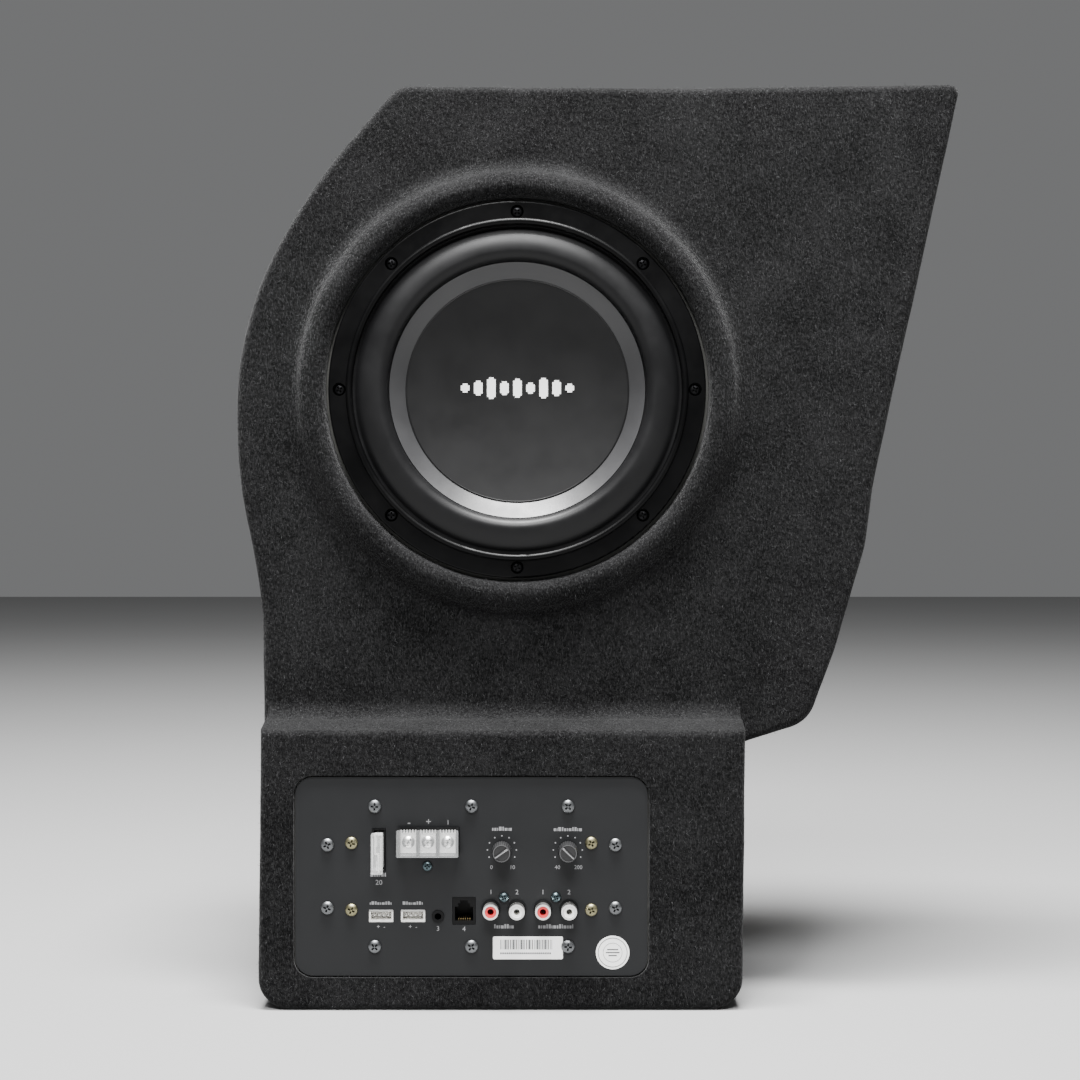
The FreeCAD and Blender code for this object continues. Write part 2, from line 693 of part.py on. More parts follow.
def make_plate_seal():
    """Foam seal under the plate's edge."""
    y0, y1 = PLATE_Y + PLATE_T, PLATE_Y + PLATE_T + SEAL_T
    seal = slab(PLATE_X, PLATE_Z, PLATE_W - 2, PLATE_H - 2, PLATE_R - 1, y0, y1)
    seal = seal.cut(slab(PLATE_X, PLATE_Z, OPENING_W + 1, OPENING_H + 1, 4, y0 - 1, y1 + 1))
    return seal.cut(screw_holes([on_plate(u, w) for u, w in PERIMETER_SCREWS], 2.0, y0 - 1, y1 + 1))


def plate_screws(places, head_r, shank_r, length):
    """Screws through the plate."""
    spots = [on_plate(u, w) for u, w in places]
    return group([screw(x, z, PLATE_Y, head_r, 2.2, shank_r, length) for x, z in spots])


def make_heatsinks():
    """Two finned brackets that stand behind the plate, each on a pair of screws."""
    solids = []
    y0 = PLATE_Y + PLATE_T
    for side in (-1, 1):
        x = PLATE_X + side * 64.5
        foot = block(x - 5, x + 5, y0, y0 + 6, PLATE_Z - 26, PLATE_Z + 26)
        web_in = x + side * 3
        web = block(min(web_in, web_in + side * 3), max(web_in, web_in + side * 3), y0 + 6, y0 + 78,
                    PLATE_Z - 26, PLATE_Z + 26)
        fins = []
        for i in range(7):
            y = y0 + 12 + 10 * i
            root, tip = web_in + side * 3, web_in + side * 5
            fins.append(block(min(root, tip), max(root, tip), y, y + 2, PLATE_Z - 26, PLATE_Z + 26))
        sink = together([foot, web, *fins])
        solids.append(sink.cut([rod(x, PLATE_Z + w, 1.55, y0 - 1, y0 + 7) for w in (-18, 18)]))
    return group(solids)


def make_main_board():
    """Amplifier circuit board, level, behind the lower row of sockets."""
    z = PLATE_Z + BOARD_W
    return block(PLATE_X - 56, PLATE_X + 57, PLATE_Y + 4, PLATE_Y + 86, z - 1.6, z)


def make_front_board():
    """Upright circuit board for the terminals, the fuse and the controls."""
    y = PLATE_Y + 15
    return block(PLATE_X - 56, PLATE_X + 58, y, y + 1.6, PLATE_Z - 2, PLATE_Z + 29)


def make_capacitors():
    """Four reservoir capacitors standing on the board."""
    z = PLATE_Z + BOARD_W
    return group([post(PLATE_X - 45 + 19 * i, PLATE_Y + 68, 8, z, z + 31) for i in range(4)])


def make_toroid():
    """Wound ring core of the power supply."""
    z = PLATE_Z + BOARD_W + 8
    x, y = PLATE_X + 34, PLATE_Y + 44
    return Part.makeTorus(11, 6.5, Vector(x, y, z), Vector(0, 0, 1))


def make_transistors():
    """Power transistors clamped to the brackets."""
    z = PLATE_Z + BOARD_W
    solids = []
    for side in (-1, 1):
        root = PLATE_X + side * 67.5
        tip = root - side * 4.5
        x0, x1 = min(root, tip), max(root, tip)
        for i in range(3):
            y = PLATE_Y + 24 + 18 * i
            leg_x = tip + side * 1.5
            package = block(x0, x1, y, y + 10, z + 6, z + 22)
            leg = block(leg_x - 0.5, leg_x + 0.5, y + 1, y + 9, z - 1, z + 6)
            solids.append(package.fuse(leg))
    return group(solids)


def make_terminal_block():
    """Black base of the power terminals with its barriers."""
    x, z = on_plate(*TERMINAL)
    y = PLATE_Y
    base = block(x - 16.5, x + 16.5, y - 2, y + 15, z - 7.2, z + 7.2)
    walls = []
    for i in range(4):
        wall_x = x - 16.5 + TERMINAL_CELL * i
        walls.append(block(wall_x, wall_x + TERMINAL_WALL, y - TERMINAL_REACH, y - 2, z - 7.2, z + 7.2))
    lug = block(x - 5, x + 5, y + PLATE_T, y + 6, z - 18, z - 7.2)
    bores = [rod(place_x, place_z, 2.2, y - 3, y + 9) for place_x, place_z in terminal_places()]
    screw_x, screw_z = on_plate(*BLOCK_SCREWS[0])
    bores.append(rod(screw_x, screw_z, 1.45, y, y + 10))
    return together([base, lug, *walls]).cut(bores)


def terminal_places():
    """Middles of the three terminals."""
    x, z = on_plate(*TERMINAL)
    return [(x + TERMINAL_CELL * i, z) for i in (-1, 0, 1)]


def make_terminal_plates():
    """Nickel contact strips on the floors of the terminals."""
    solids = []
    for x, z in terminal_places():
        strip = block(x - 4.4, x + 4.4, PLATE_Y - 3, PLATE_Y - 2, z - 6.2, z + 6.6)
        solids.append(strip.cut(rod(x, z, 2.2, PLATE_Y - 4, PLATE_Y)))
    return group(solids)


def make_terminal_screw(index):
    """Screw with its captive square washer."""
    x, z = terminal_places()[index]
    washer = block(x - 4.1, x + 4.1, PLATE_Y - 4.3, PLATE_Y - 3.3, z - 4.1, z + 4.1)
    washer = washer.cut(rod(x, z, 2.02, PLATE_Y - 5, PLATE_Y - 3))
    return group([washer, screw(x, z, PLATE_Y - 4.35, 3.4, 2.2, 1.95, 11)])


def make_terminal_cover():
    """Clear cover that lies on the barriers, with a tongue into each terminal below the screws."""
    x, z = on_plate(*TERMINAL)
    back = PLATE_Y - TERMINAL_REACH - 0.3
    lid = slab(x, z, 33.0, 14.4, 0.8, back - 1.2, back)
    end = PLATE_Y - 3.4
    tongues = [block(cx - 4.2, cx + 4.2, back - 0.6, end, z - 7.1, z - 6.4) for cx, _ in terminal_places()]
    return together([lid, *tongues])


def make_fuse_holder():
    """Clips and housing of the blade fuse."""
    x, z = on_plate(*FUSE)
    holder = block(x - 3.5, x + 3.5, PLATE_Y - 1, PLATE_Y + 15, z - 11.5, z + 11.5)
    pocket = block(x - 2.9, x + 2.9, PLATE_Y - 2, PLATE_Y + 2, z - 10.9, z + 10.9)
    slots = [block(x - 0.6, x + 0.6, PLATE_Y, PLATE_Y + 11, z + s * 6 - 3, z + s * 6 + 3) for s in (-1, 1)]
    return holder.cut([pocket, *slots])


def make_fuse():
    """Blade fuse: clear body that stands out of the plate."""
    x, z = on_plate(*FUSE)
    front = PLATE_Y - 13.5
    cap = slab(x, z, 6.2, 21.6, 0.8, front, front + 3)
    waist = slab(x, z, 4.8, 19.0, 0.8, front + 3, PLATE_Y + 1.5)
    return together([cap, waist])


def make_fuse_blades():
    """The fuse's two blades."""
    x, z = on_plate(*FUSE)
    y0, y1 = PLATE_Y + 1.5, PLATE_Y + 9.5
    return group([block(x - 0.3, x + 0.3, y0, y1, z + s * 6 - 2.6, z + s * 6 + 2.6) for s in (-1, 1)])


def make_potentiometers():
    """Two controls behind the plate, each with its bushing."""
    solids = []
    for place in KNOBS.values():
        x, z = on_plate(*place)
        case = block(x - 5, x + 5, PLATE_Y + 3.5, PLATE_Y + 15, z - 6, z + 6)
        bush = rod(x, z, 3.4, PLATE_Y - 0.8, PLATE_Y + 3.5)
        solids.append(case.fuse(bush).cut(rod(x, z, 3.05, PLATE_Y - 2, PLATE_Y + 12)))
    return group(solids)


def make_knob(name):
    """Fluted knob on its shaft, with a raised grip bar that shows its position."""
    x, z = on_plate(*KNOBS[name])
    back, front = PLATE_Y - 1.4, PLATE_Y - 10.4
    skirt = rod(x, z, 4.9, front + 4.5, back)
    crown = rod(x, z, 4.5, front, front + 4.5)
    shaft = rod(x, z, 3.0, back, PLATE_Y + 10)
    flutes = []
    for i in range(18):
        angle = math.radians(20 * i)
        flute_x, flute_z = x + 5.15 * math.cos(angle), z + 5.15 * math.sin(angle)
        flutes.append(rod(flute_x, flute_z, 0.55, front - 1, back + 1))
    bar = block(x - 4.2, x + 4.2, front - 0.8, front, z - 0.7, z + 0.7)
    bar.rotate(Vector(x, 0, z), Vector(0, -1, 0), POINTERS[name])
    return together([skirt, crown, shaft]).cut(flutes).fuse(bar)


def make_level_sockets():
    """The two white four way sockets for level leads."""
    solids = []
    y0, y1 = PLATE_Y + 1.0, PLATE_Y + 13
    for place in HEADERS.values():
        x, z = on_plate(*place)
        shroud = block(x - 6.5, x + 6.5, y0, y1, z - 3.3, z + 3.3)
        solids.append(shroud.cut(block(x - 5.6, x + 5.6, y0 - 1, y0 + 7.5, z - 2.4, z + 2.4)))
    return group(solids)


def make_header_pins():
    """Square pins of both headers."""
    solids = []
    half = 0.32
    y0, y1 = PLATE_Y + 2.5, PLATE_Y + 8.5
    for place in HEADERS.values():
        x, z = on_plate(*place)
        for i in range(4):
            pin_x = x - 3.75 + 2.5 * i
            solids.append(block(pin_x - half, pin_x + half, y0, y1, z - half, z + half))
    return group(solids)


def make_aux_jack():
    """3.5 mm stereo jack."""
    x, z = on_plate(*AUX)
    case = block(x - 3.9, x + 3.9, PLATE_Y + 2.5, PLATE_Y + 16.4, z - 5.3, z + 4.4)
    collar = rod(x, z, 3.3, PLATE_Y - 0.8, PLATE_Y + 2.5)
    return case.fuse(collar).cut(rod(x, z, 1.8, PLATE_Y - 2, PLATE_Y + 14))


def make_remote_jack():
    """Six way modular socket for a wired remote control."""
    x, z = on_plate(*REMOTE)
    y0 = PLATE_Y + 0.3
    case = block(x - 6.1, x + 6.1, y0, PLATE_Y + 16.4, z - 7.3, z + 7.3)
    cavity = block(x - 4.9, x + 4.9, y0 - 1, y0 + 13, z - 5.4, z + 2.2)
    latch = [block(x - 3.2, x + 3.2, y0 - 1, y0 + 13, z + 2.2, z + 4.0),
             block(x - 2.0, x + 2.0, y0 - 1, y0 + 13, z + 4.0, z + 5.6)]
    return case.cut([cavity, *latch])


def make_remote_contacts():
    """Gilt spring contacts in the modular socket."""
    x, z = on_plate(*REMOTE)
    y0, first, pitch, width = PLATE_Y + 3, x - 3.2, 1.2, 0.4
    starts = [first + pitch * i for i in range(6)]
    return group([block(start, start + width, y0, y0 + 9, z - 5.4, z - 4.5) for start in starts])


def make_rca_bodies():
    """Black bodies of the two pairs of phono sockets."""
    solids = []
    y0, y1 = PLATE_Y + PLATE_T, PLATE_Y + 16
    for pair in (0, 2):
        left, right = JACKS[pair], JACKS[pair + 1]
        x0, z = on_plate(*left)
        x1, _ = on_plate(*right)
        body = block(x0 - 6.5, x1 + 6.5, y0, y1, z - 9.2, z + 9.5)
        rings = [rod(x, z, JACK_COLLAR_R, PLATE_Y - JACK_COLLAR, y0) for x in (x0, x1)]
        bores = [rod(x, z, JACK_R - JACK_STEP + 0.02, PLATE_Y - 2, y1 - 4) for x in (x0, x1)]
        bores += screw_holes([on_plate(u, w) for u, w in BLOCK_SCREWS[1:]], 1.45, PLATE_Y, PLATE_Y + 10)
        solids.append(together([body, *rings]).cut(bores))
    return group(solids)


def make_rca_shells():
    """Plated outer contacts of the phono sockets."""
    solids = []
    for place in JACKS:
        x, z = on_plate(*place)
        free = rod(x, z, JACK_R, PLATE_Y - JACK_REACH, PLATE_Y - JACK_COLLAR)
        held = rod(x, z, JACK_R - JACK_STEP, PLATE_Y - JACK_COLLAR, PLATE_Y + 11.9)
        solids.append(together([free, held]).cut(rod(x, z, JACK_CORE_R + 0.05, PLATE_Y - 20, PLATE_Y + 20)))
    return group(solids)


def rca_insulators(indexes):
    """Coloured cores of the phono sockets, with the hole for the centre pin."""
    solids = []
    for i in indexes:
        x, z = on_plate(*JACKS[i])
        core = rod(x, z, JACK_CORE_R, PLATE_Y - JACK_REACH + 0.4, PLATE_Y + 11.9)
        solids.append(core.cut(rod(x, z, JACK_PIN_R, PLATE_Y - 20, PLATE_Y + JACK_PIN_DEPTH)))
    return group(solids)


def make_labels():
    """Paper label at the plate's lower edge, cut round a screw, and a round paper seal beside it."""
    front = PLATE_Y - LABEL_T
    x, z = on_plate(*CODE_LABEL)
    label = slab(x, z, CODE_LABEL_W, CODE_LABEL_H, 0.8, front, PLATE_Y)
    screw_x, screw_z = on_plate(*PERIMETER_SCREWS[5])
    label = label.cut(rod(screw_x, screw_z, 3.7, front - 1, PLATE_Y + 1))
    seal_x, seal_z = on_plate(*SEAL_LABEL)
    return group([label, rod(seal_x, seal_z, SEAL_LABEL_R, front, PLATE_Y)])


def make_back_screws():
    """Black screws round the back panel."""
    return group([screw(x, z, BACK_Y - 2, 3.9, 1.9, 2.0, 24.0, toward=1) for x, z in BACK_SCREWS])


PARTS = {
    "carpet": make_carpet,
    "front_shell": make_front_shell,
    "back_panel": make_back_panel,
    "batten_frame": make_batten_frame,
    "driver_ring": make_driver_ring,
    "amp_frame": make_amp_frame,
    "bay_divider": make_divider,
    "lead_grommet": make_lead_grommet,
    "threaded_inserts": make_threaded_inserts,
    "back_screws": make_back_screws,
    "basket": make_basket,
    "basket_seal": make_basket_seal,
    "surround": make_surround,
    "gasket_ring": make_gasket_ring,
    "cone": make_cone,
    "dust_cap": make_dust_cap,
    "coil_former": make_former,
    "voice_coil": make_voice_coil,
    "spider": make_spider,
    "top_plate": make_top_plate,
    "magnet": make_magnet,
    "yoke": make_yoke,
    "magnet_boot": make_magnet_boot,
    "driver_screws": make_driver_screws,
    "driver_terminals": make_driver_terminals,
    "tinsel_leads": make_tinsel_leads,
    "speaker_leads": make_speaker_leads,
    "amp_plate": make_amp_plate,
    "plate_seal": make_plate_seal,
    "plate_screws": lambda: plate_screws(PERIMETER_SCREWS, 3.6, 1.7, 18.0),
    "bracket_screws": lambda: plate_screws(BRACKET_SCREWS, 3.4, 1.5, 7.5),
    "block_screws": lambda: plate_screws(BLOCK_SCREWS, 2.7, 1.4, 2.0 + PLATE_T),
    "heatsinks": make_heatsinks,
    "main_board": make_main_board,
    "front_board": make_front_board,
    "capacitors": make_capacitors,
    "toroid": make_toroid,
    "transistors": make_transistors,
    "terminal_block": make_terminal_block,
    "terminal_plates": make_terminal_plates,
    "terminal_screw_1": lambda: make_terminal_screw(0),
    "terminal_screw_2": lambda: make_terminal_screw(1),
    "terminal_screw_3": lambda: make_terminal_screw(2),
    "terminal_cover": make_terminal_cover,
    "fuse_holder": make_fuse_holder,
    "fuse_body": make_fuse,
    "fuse_blades": make_fuse_blades,
    "potentiometers": make_potentiometers,
    "volume_knob": lambda: make_knob("volume"),
    "frequency_knob": lambda: make_knob("frequency"),
    "level_sockets": make_level_sockets,
    "header_pins": make_header_pins,
    "aux_jack": make_aux_jack,
    "remote_jack": make_remote_jack,
    "remote_contacts": make_remote_contacts,
    "rca_bodies": make_rca_bodies,
    "rca_shells": make_rca_shells,
    "rca_cores_red": lambda: rca_insulators((0, 2)),
    "rca_cores_white": lambda: rca_insulators((1, 3)),
    "labels": make_labels,
}

os.makedirs("parts", exist_ok=True)
for name, make in PARTS.items():
    part = make()
    count = len(part.Solids)
    print(f"{name}: {count} solid, valid {part.isValid()}, {part.Volume / 1000:.2f} cm3")
    part.exportStep(f"parts/{name}.step")
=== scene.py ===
"""Looks of a carpeted car subwoofer with a built-in amplifier.

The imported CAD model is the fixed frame. This file dresses its parts and builds the carpet,
the driver's soft parts, the screws and the printed marks round it. Sizes in the classes are
millimetres unless a name says otherwise; Blender works in metres.
"""

import json
import logging
import math
from dataclasses import dataclass, field
from enum import Enum
from typing import Any, Iterable, Optional, Sequence

import bmesh
import bpy
from mathutils import Matrix, Vector, noise
from mathutils.bvhtree import BVHTree

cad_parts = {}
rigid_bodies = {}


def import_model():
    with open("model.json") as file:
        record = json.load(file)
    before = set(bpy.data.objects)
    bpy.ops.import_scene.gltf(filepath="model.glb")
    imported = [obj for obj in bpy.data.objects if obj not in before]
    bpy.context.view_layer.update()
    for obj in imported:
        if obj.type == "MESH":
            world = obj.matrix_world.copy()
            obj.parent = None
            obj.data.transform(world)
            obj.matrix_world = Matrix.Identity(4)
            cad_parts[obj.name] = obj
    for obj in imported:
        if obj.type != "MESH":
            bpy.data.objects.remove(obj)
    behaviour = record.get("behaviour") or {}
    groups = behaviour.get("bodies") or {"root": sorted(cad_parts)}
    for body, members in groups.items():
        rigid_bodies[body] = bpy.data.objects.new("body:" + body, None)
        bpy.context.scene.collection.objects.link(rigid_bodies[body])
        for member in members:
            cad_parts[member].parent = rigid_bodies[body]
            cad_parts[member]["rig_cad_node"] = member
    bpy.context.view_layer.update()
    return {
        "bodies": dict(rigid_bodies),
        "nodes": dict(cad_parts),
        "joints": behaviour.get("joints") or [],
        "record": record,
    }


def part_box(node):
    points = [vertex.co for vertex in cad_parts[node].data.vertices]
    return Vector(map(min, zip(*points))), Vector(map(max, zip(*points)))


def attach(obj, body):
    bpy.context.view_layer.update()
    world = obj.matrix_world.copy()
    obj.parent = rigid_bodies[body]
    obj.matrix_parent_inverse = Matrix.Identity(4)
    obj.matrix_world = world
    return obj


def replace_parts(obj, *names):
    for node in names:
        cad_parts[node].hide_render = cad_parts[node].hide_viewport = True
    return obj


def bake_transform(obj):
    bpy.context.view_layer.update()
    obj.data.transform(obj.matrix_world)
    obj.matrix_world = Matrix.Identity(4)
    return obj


LOG = logging.getLogger("subwoofer")
MM = 0.001
FULL_TURN = 6.28
ON_AXIS = 1e-6

Colour = tuple[float, float, float]
Profile = list[tuple[float, float]]


# ---------------------------------------------------------------------------------------------
# Node sheets for materials


class Sheet:
    """A material's node tree, with short calls for the nodes that the finishes use."""

    def __init__(self, name: str) -> None:
        """Start an empty material with a Principled surface."""
        self.material = bpy.data.materials.new(name)
        self.material.use_nodes = True
        self.tree = self.material.node_tree
        self.tree.nodes.clear()
        self.surface = self.add("ShaderNodeBsdfPrincipled")
        output = self.add("ShaderNodeOutputMaterial")
        self.join(self.surface.outputs[0], output.inputs["Surface"])
        self.place = self.add("ShaderNodeTexCoord").outputs["Object"]

    def add(self, kind: str, **settings: Any) -> bpy.types.Node:
        """Add a node and set its properties.

        Args:
            kind: Blender's node type.
            settings: properties of the node.
        Returns:
            The new node.
        """
        node = self.tree.nodes.new(kind)
        for key, value in settings.items():
            setattr(node, key, value)
        return node

    def join(self, out: bpy.types.NodeSocket, into: bpy.types.NodeSocket) -> None:
        """Link two sockets."""
        self.tree.links.new(out, into)

    def set(self, **values: Any) -> None:
        """Set constants on the Principled surface; underscores stand for spaces."""
        for key, value in values.items():
            self.surface.inputs[key.replace("_", " ")].default_value = value

    def noise(
        self, size: float, detail: float = 3.0, rough: float = 0.55, stretch: Sequence[float] = (1, 1, 1),
        turn: Sequence[float] = (0, 0, 0), shift: float = 0.0,
    ) -> bpy.types.NodeSocket:
        """Noise over the piece's own place.

        Args:
            size: size of a blotch in millimetres.
            detail: octaves.
            rough: how strong the finer octaves are.
            stretch: how much longer a blotch is along each turned axis.
            turn: turning of the pattern in degrees.
            shift: offset, to keep two patterns apart.
        Returns:
            The noise value, 0 to 1.
        """
        mapping = self.add("ShaderNodeMapping")
        mapping.inputs["Location"].default_value = (shift, shift * 0.7, shift * 1.3)
        mapping.inputs["Rotation"].default_value = [math.radians(a) for a in turn]
        mapping.inputs["Scale"].default_value = [1.0 / (size * MM * s) for s in stretch]
        self.join(self.place, mapping.inputs["Vector"])
        texture = self.add("ShaderNodeTexNoise")
        texture.inputs["Scale"].default_value = 1.0
        texture.inputs["Detail"].default_value = detail
        texture.inputs["Roughness"].default_value = rough
        self.join(mapping.outputs[0], texture.inputs["Vector"])
        return texture.outputs["Fac"]

    def span(
        self, value: bpy.types.NodeSocket, low: float, high: float, out0: float = 0.0, out1: float = 1.0,
    ) -> bpy.types.NodeSocket:
        """Stretch a value from low..high to out0..out1, clamped.

        Args:
            value: the value.
            low: input that gives out0.
            high: input that gives out1.
            out0: first output.
            out1: second output.
        Returns:
            The stretched value.
        """
        node = self.add("ShaderNodeMapRange", clamp=True)
        for index, number in ((1, low), (2, high), (3, out0), (4, out1)):
            node.inputs[index].default_value = number
        self.join(value, node.inputs[0])
        return node.outputs[0]

    def sum(
        self, first: bpy.types.NodeSocket, second: bpy.types.NodeSocket, how: str = "ADD", share: float = 1.0,
    ) -> bpy.types.NodeSocket:
        """Combine two values.

        Args:
            first: one value.
            second: the other.
            how: the math node's operation.
            share: factor on the second value.
        Returns:
            The combined value.
        """
        scaled = self.add("ShaderNodeMath", operation="MULTIPLY")
        scaled.inputs[1].default_value = share
        self.join(second, scaled.inputs[0])
        node = self.add("ShaderNodeMath", operation=how)
        self.join(first, node.inputs[0])
        self.join(scaled.outputs[0], node.inputs[1])
        return node.outputs[0]

    def tint(self, value: bpy.types.NodeSocket, dark: Colour, light: Colour) -> bpy.types.NodeSocket:
        """Colour between two, by a value.

        Args:
            value: 0 gives dark, 1 gives light.
            dark: first colour.
            light: second colour.
        Returns:
            The colour socket.
        """
        ramp = self.add("ShaderNodeValToRGB")
        ramp.color_ramp.elements[0].color = (*dark, 1)
        ramp.color_ramp.elements[1].color = (*light, 1)
        self.join(value, ramp.inputs[0])
        return ramp.outputs[0]

    def bump(self, height: bpy.types.NodeSocket, depth: float, strength: float = 1.0) -> None:
        """Bump the surface by a height of the given depth in millimetres."""
        node = self.add("ShaderNodeBump")
        node.inputs["Strength"].default_value = strength
        node.inputs["Distance"].default_value = depth * MM
        self.join(height, node.inputs["Height"])
        self.join(node.outputs[0], self.surface.inputs["Normal"])


# ---------------------------------------------------------------------------------------------
# Finishes


@dataclass(frozen=True)
class Felt:
    """Needle felt: short matted fibres, darker in their gaps."""

    name: str
    dark: Colour
    light: Colour
    slot: str = "carpet"
    strand: float = 0.62
    tuft: float = 1.5
    blotch: float = 34.0

    def build(self) -> bpy.types.Material:
        """Make the material."""
        sheet = Sheet(self.name)
        strands = [
            sheet.noise(self.strand, 2.0, 0.5, (1, 1, 4), (0, 25 + 62 * i, 40 * i), 3.1 * i) for i in range(3)
        ]
        weave = sheet.sum(sheet.sum(strands[0], strands[1], "MAXIMUM"), strands[2], "MAXIMUM")
        tufts = sheet.noise(self.tuft, 3.0, 0.6)
        cloud = sheet.noise(self.blotch, 3.0, 0.5, shift=2.0)
        fibres = sheet.span(weave, 0.58, 0.76)
        shade = sheet.sum(sheet.span(tufts, 0.35, 0.65, 0.0, 0.30), fibres, "ADD", 0.80)
        shade = sheet.sum(shade, sheet.span(cloud, 0.3, 0.7, -0.09, 0.09))
        sheet.join(sheet.tint(shade, self.dark, self.light), sheet.surface.inputs["Base Color"])
        height = sheet.sum(tufts, fibres, "ADD", 0.5)
        sheet.bump(height, 0.55, 0.8)
        sheet.set(Roughness=0.95, Sheen_Weight=0.065, Sheen_Roughness=0.42, Specular_IOR_Level=0.1)
        return sheet.material


@dataclass(frozen=True)
class Moulded:
    """Moulded plastic, rubber or paint: an even colour with a fine grain and faint clouds."""

    name: str
    slot: str
    colour: Colour
    rough: float = 0.5
    grain: float = 0.25
    grain_depth: float = 0.02
    cloud: float = 0.12
    coat: float = 0.0
    level: float = 0.5

    def build(self) -> bpy.types.Material:
        """Make the material."""
        sheet = Sheet(self.name)
        grain = sheet.noise(self.grain, 3.0, 0.6)
        cloud = sheet.noise(22.0, 4.0, 0.6, shift=1.0)
        both = sheet.sum(sheet.span(cloud, 0.3, 0.7), grain, "ADD", 0.5)
        shade = sheet.span(both, 0.0, 1.5)
        dark = tuple(c * (1 - self.cloud) for c in self.colour)
        light = tuple(min(1.0, c * (1 + self.cloud)) for c in self.colour)
        sheet.join(sheet.tint(shade, dark, light), sheet.surface.inputs["Base Color"])
        rough = sheet.span(both, 0.2, 1.2, self.rough - 0.06, self.rough + 0.06)
        sheet.join(rough, sheet.surface.inputs["Roughness"])
        sheet.bump(grain, self.grain_depth, 0.6)
        sheet.set(Coat_Weight=self.coat, Specular_IOR_Level=self.level)
        return sheet.material


@dataclass(frozen=True)
class Metal:
    """Plated or bare metal with rubbed streaks and a few dull patches."""

    name: str
    slot: str
    colour: Colour
    rough: float = 0.3
    streak: Sequence[float] = (1, 1, 6)
    dull: float = 0.12

    def build(self) -> bpy.types.Material:
        """Make the material."""
        sheet = Sheet(self.name)
        streaks = sheet.noise(0.35, 3.0, 0.6, self.streak)
        patches = sheet.noise(4.5, 4.0, 0.6, shift=5.0)
        both = sheet.sum(sheet.span(patches, 0.3, 0.7), streaks, "ADD", 0.5)
        shade = sheet.span(both, 0.0, 1.5)
        dark = tuple(c * (1 - self.dull) for c in self.colour)
        sheet.join(sheet.tint(shade, dark, self.colour), sheet.surface.inputs["Base Color"])
        rough = sheet.span(both, 1.3, 0.1, self.rough - 0.08, self.rough + 0.12)
        sheet.join(rough, sheet.surface.inputs["Roughness"])
        sheet.bump(streaks, 0.012, 0.4)
        sheet.set(Metallic=1.0)
        return sheet.material


@dataclass(frozen=True)
class Clear:
    """Clear moulded plastic with faint flow marks."""

    name: str
    slot: str
    colour: Colour = (0.93, 0.95, 0.95)
    opacity: float = 0.10
    rough: float = 0.08

    def build(self) -> bpy.types.Material:
        """Make the material."""
        sheet = Sheet(self.name)
        flow = sheet.noise(2.2, 3.0, 0.6, (1, 1, 3))
        dark = tuple(c * 0.94 for c in self.colour)
        sheet.join(sheet.tint(flow, dark, self.colour), sheet.surface.inputs["Base Color"])
        rough = sheet.span(flow, 0.3, 0.7, self.rough, self.rough + 0.08)
        sheet.join(rough, sheet.surface.inputs["Roughness"])
        sheet.bump(flow, 0.03, 0.4)
        sheet.set(Alpha=self.opacity, IOR=1.5)
        return sheet.material


@dataclass(frozen=True)
class Timber:
    """Fibreboard or plywood, cut and unpainted."""

    name: str
    slot: str
    dark: Colour
    light: Colour
    grain: Sequence[float] = (1, 1, 1)

    def build(self) -> bpy.types.Material:
        """Make the material."""
        sheet = Sheet(self.name)
        grain = sheet.noise(1.2, 5.0, 0.65, self.grain)
        broad = sheet.noise(18.0, 3.0, 0.5, self.grain, shift=2.0)
        shade = sheet.sum(sheet.span(grain, 0.3, 0.7, 0, 0.6), broad, "ADD", 0.5)
        sheet.join(sheet.tint(shade, self.dark, self.light), sheet.surface.inputs["Base Color"])
        sheet.bump(grain, 0.12, 0.7)
        sheet.set(Roughness=0.82)
        return sheet.material


@dataclass(frozen=True)
class Woven:
    """Woven or braided strands that cross at right angles."""

    WAVE_AT_SCALE_1 = 0.31  # length of one band of the wave texture

    name: str
    slot: str
    dark: Colour
    light: Colour
    pitch: float = 0.7
    metal: float = 0.0
    rough: float = 0.8

    def build(self) -> bpy.types.Material:
        """Make the material."""
        sheet = Sheet(self.name)
        waves = []
        for direction in ("X", "Z"):
            wave = sheet.add("ShaderNodeTexWave", bands_direction=direction)
            wave.inputs["Scale"].default_value = self.WAVE_AT_SCALE_1 / (self.pitch * MM)
            wave.inputs["Distortion"].default_value = 0.6
            sheet.join(sheet.place, wave.inputs["Vector"])
            waves.append(wave.outputs["Fac"])
        cross = sheet.sum(waves[0], waves[1], "MULTIPLY")
        stain = sheet.noise(9.0, 4.0, 0.6)
        shade = sheet.sum(cross, stain, "ADD", 0.4)
        sheet.join(sheet.tint(shade, self.dark, self.light), sheet.surface.inputs["Base Color"])
        sheet.bump(cross, 0.15, 0.8)
        sheet.set(Roughness=self.rough, Metallic=self.metal)
        return sheet.material


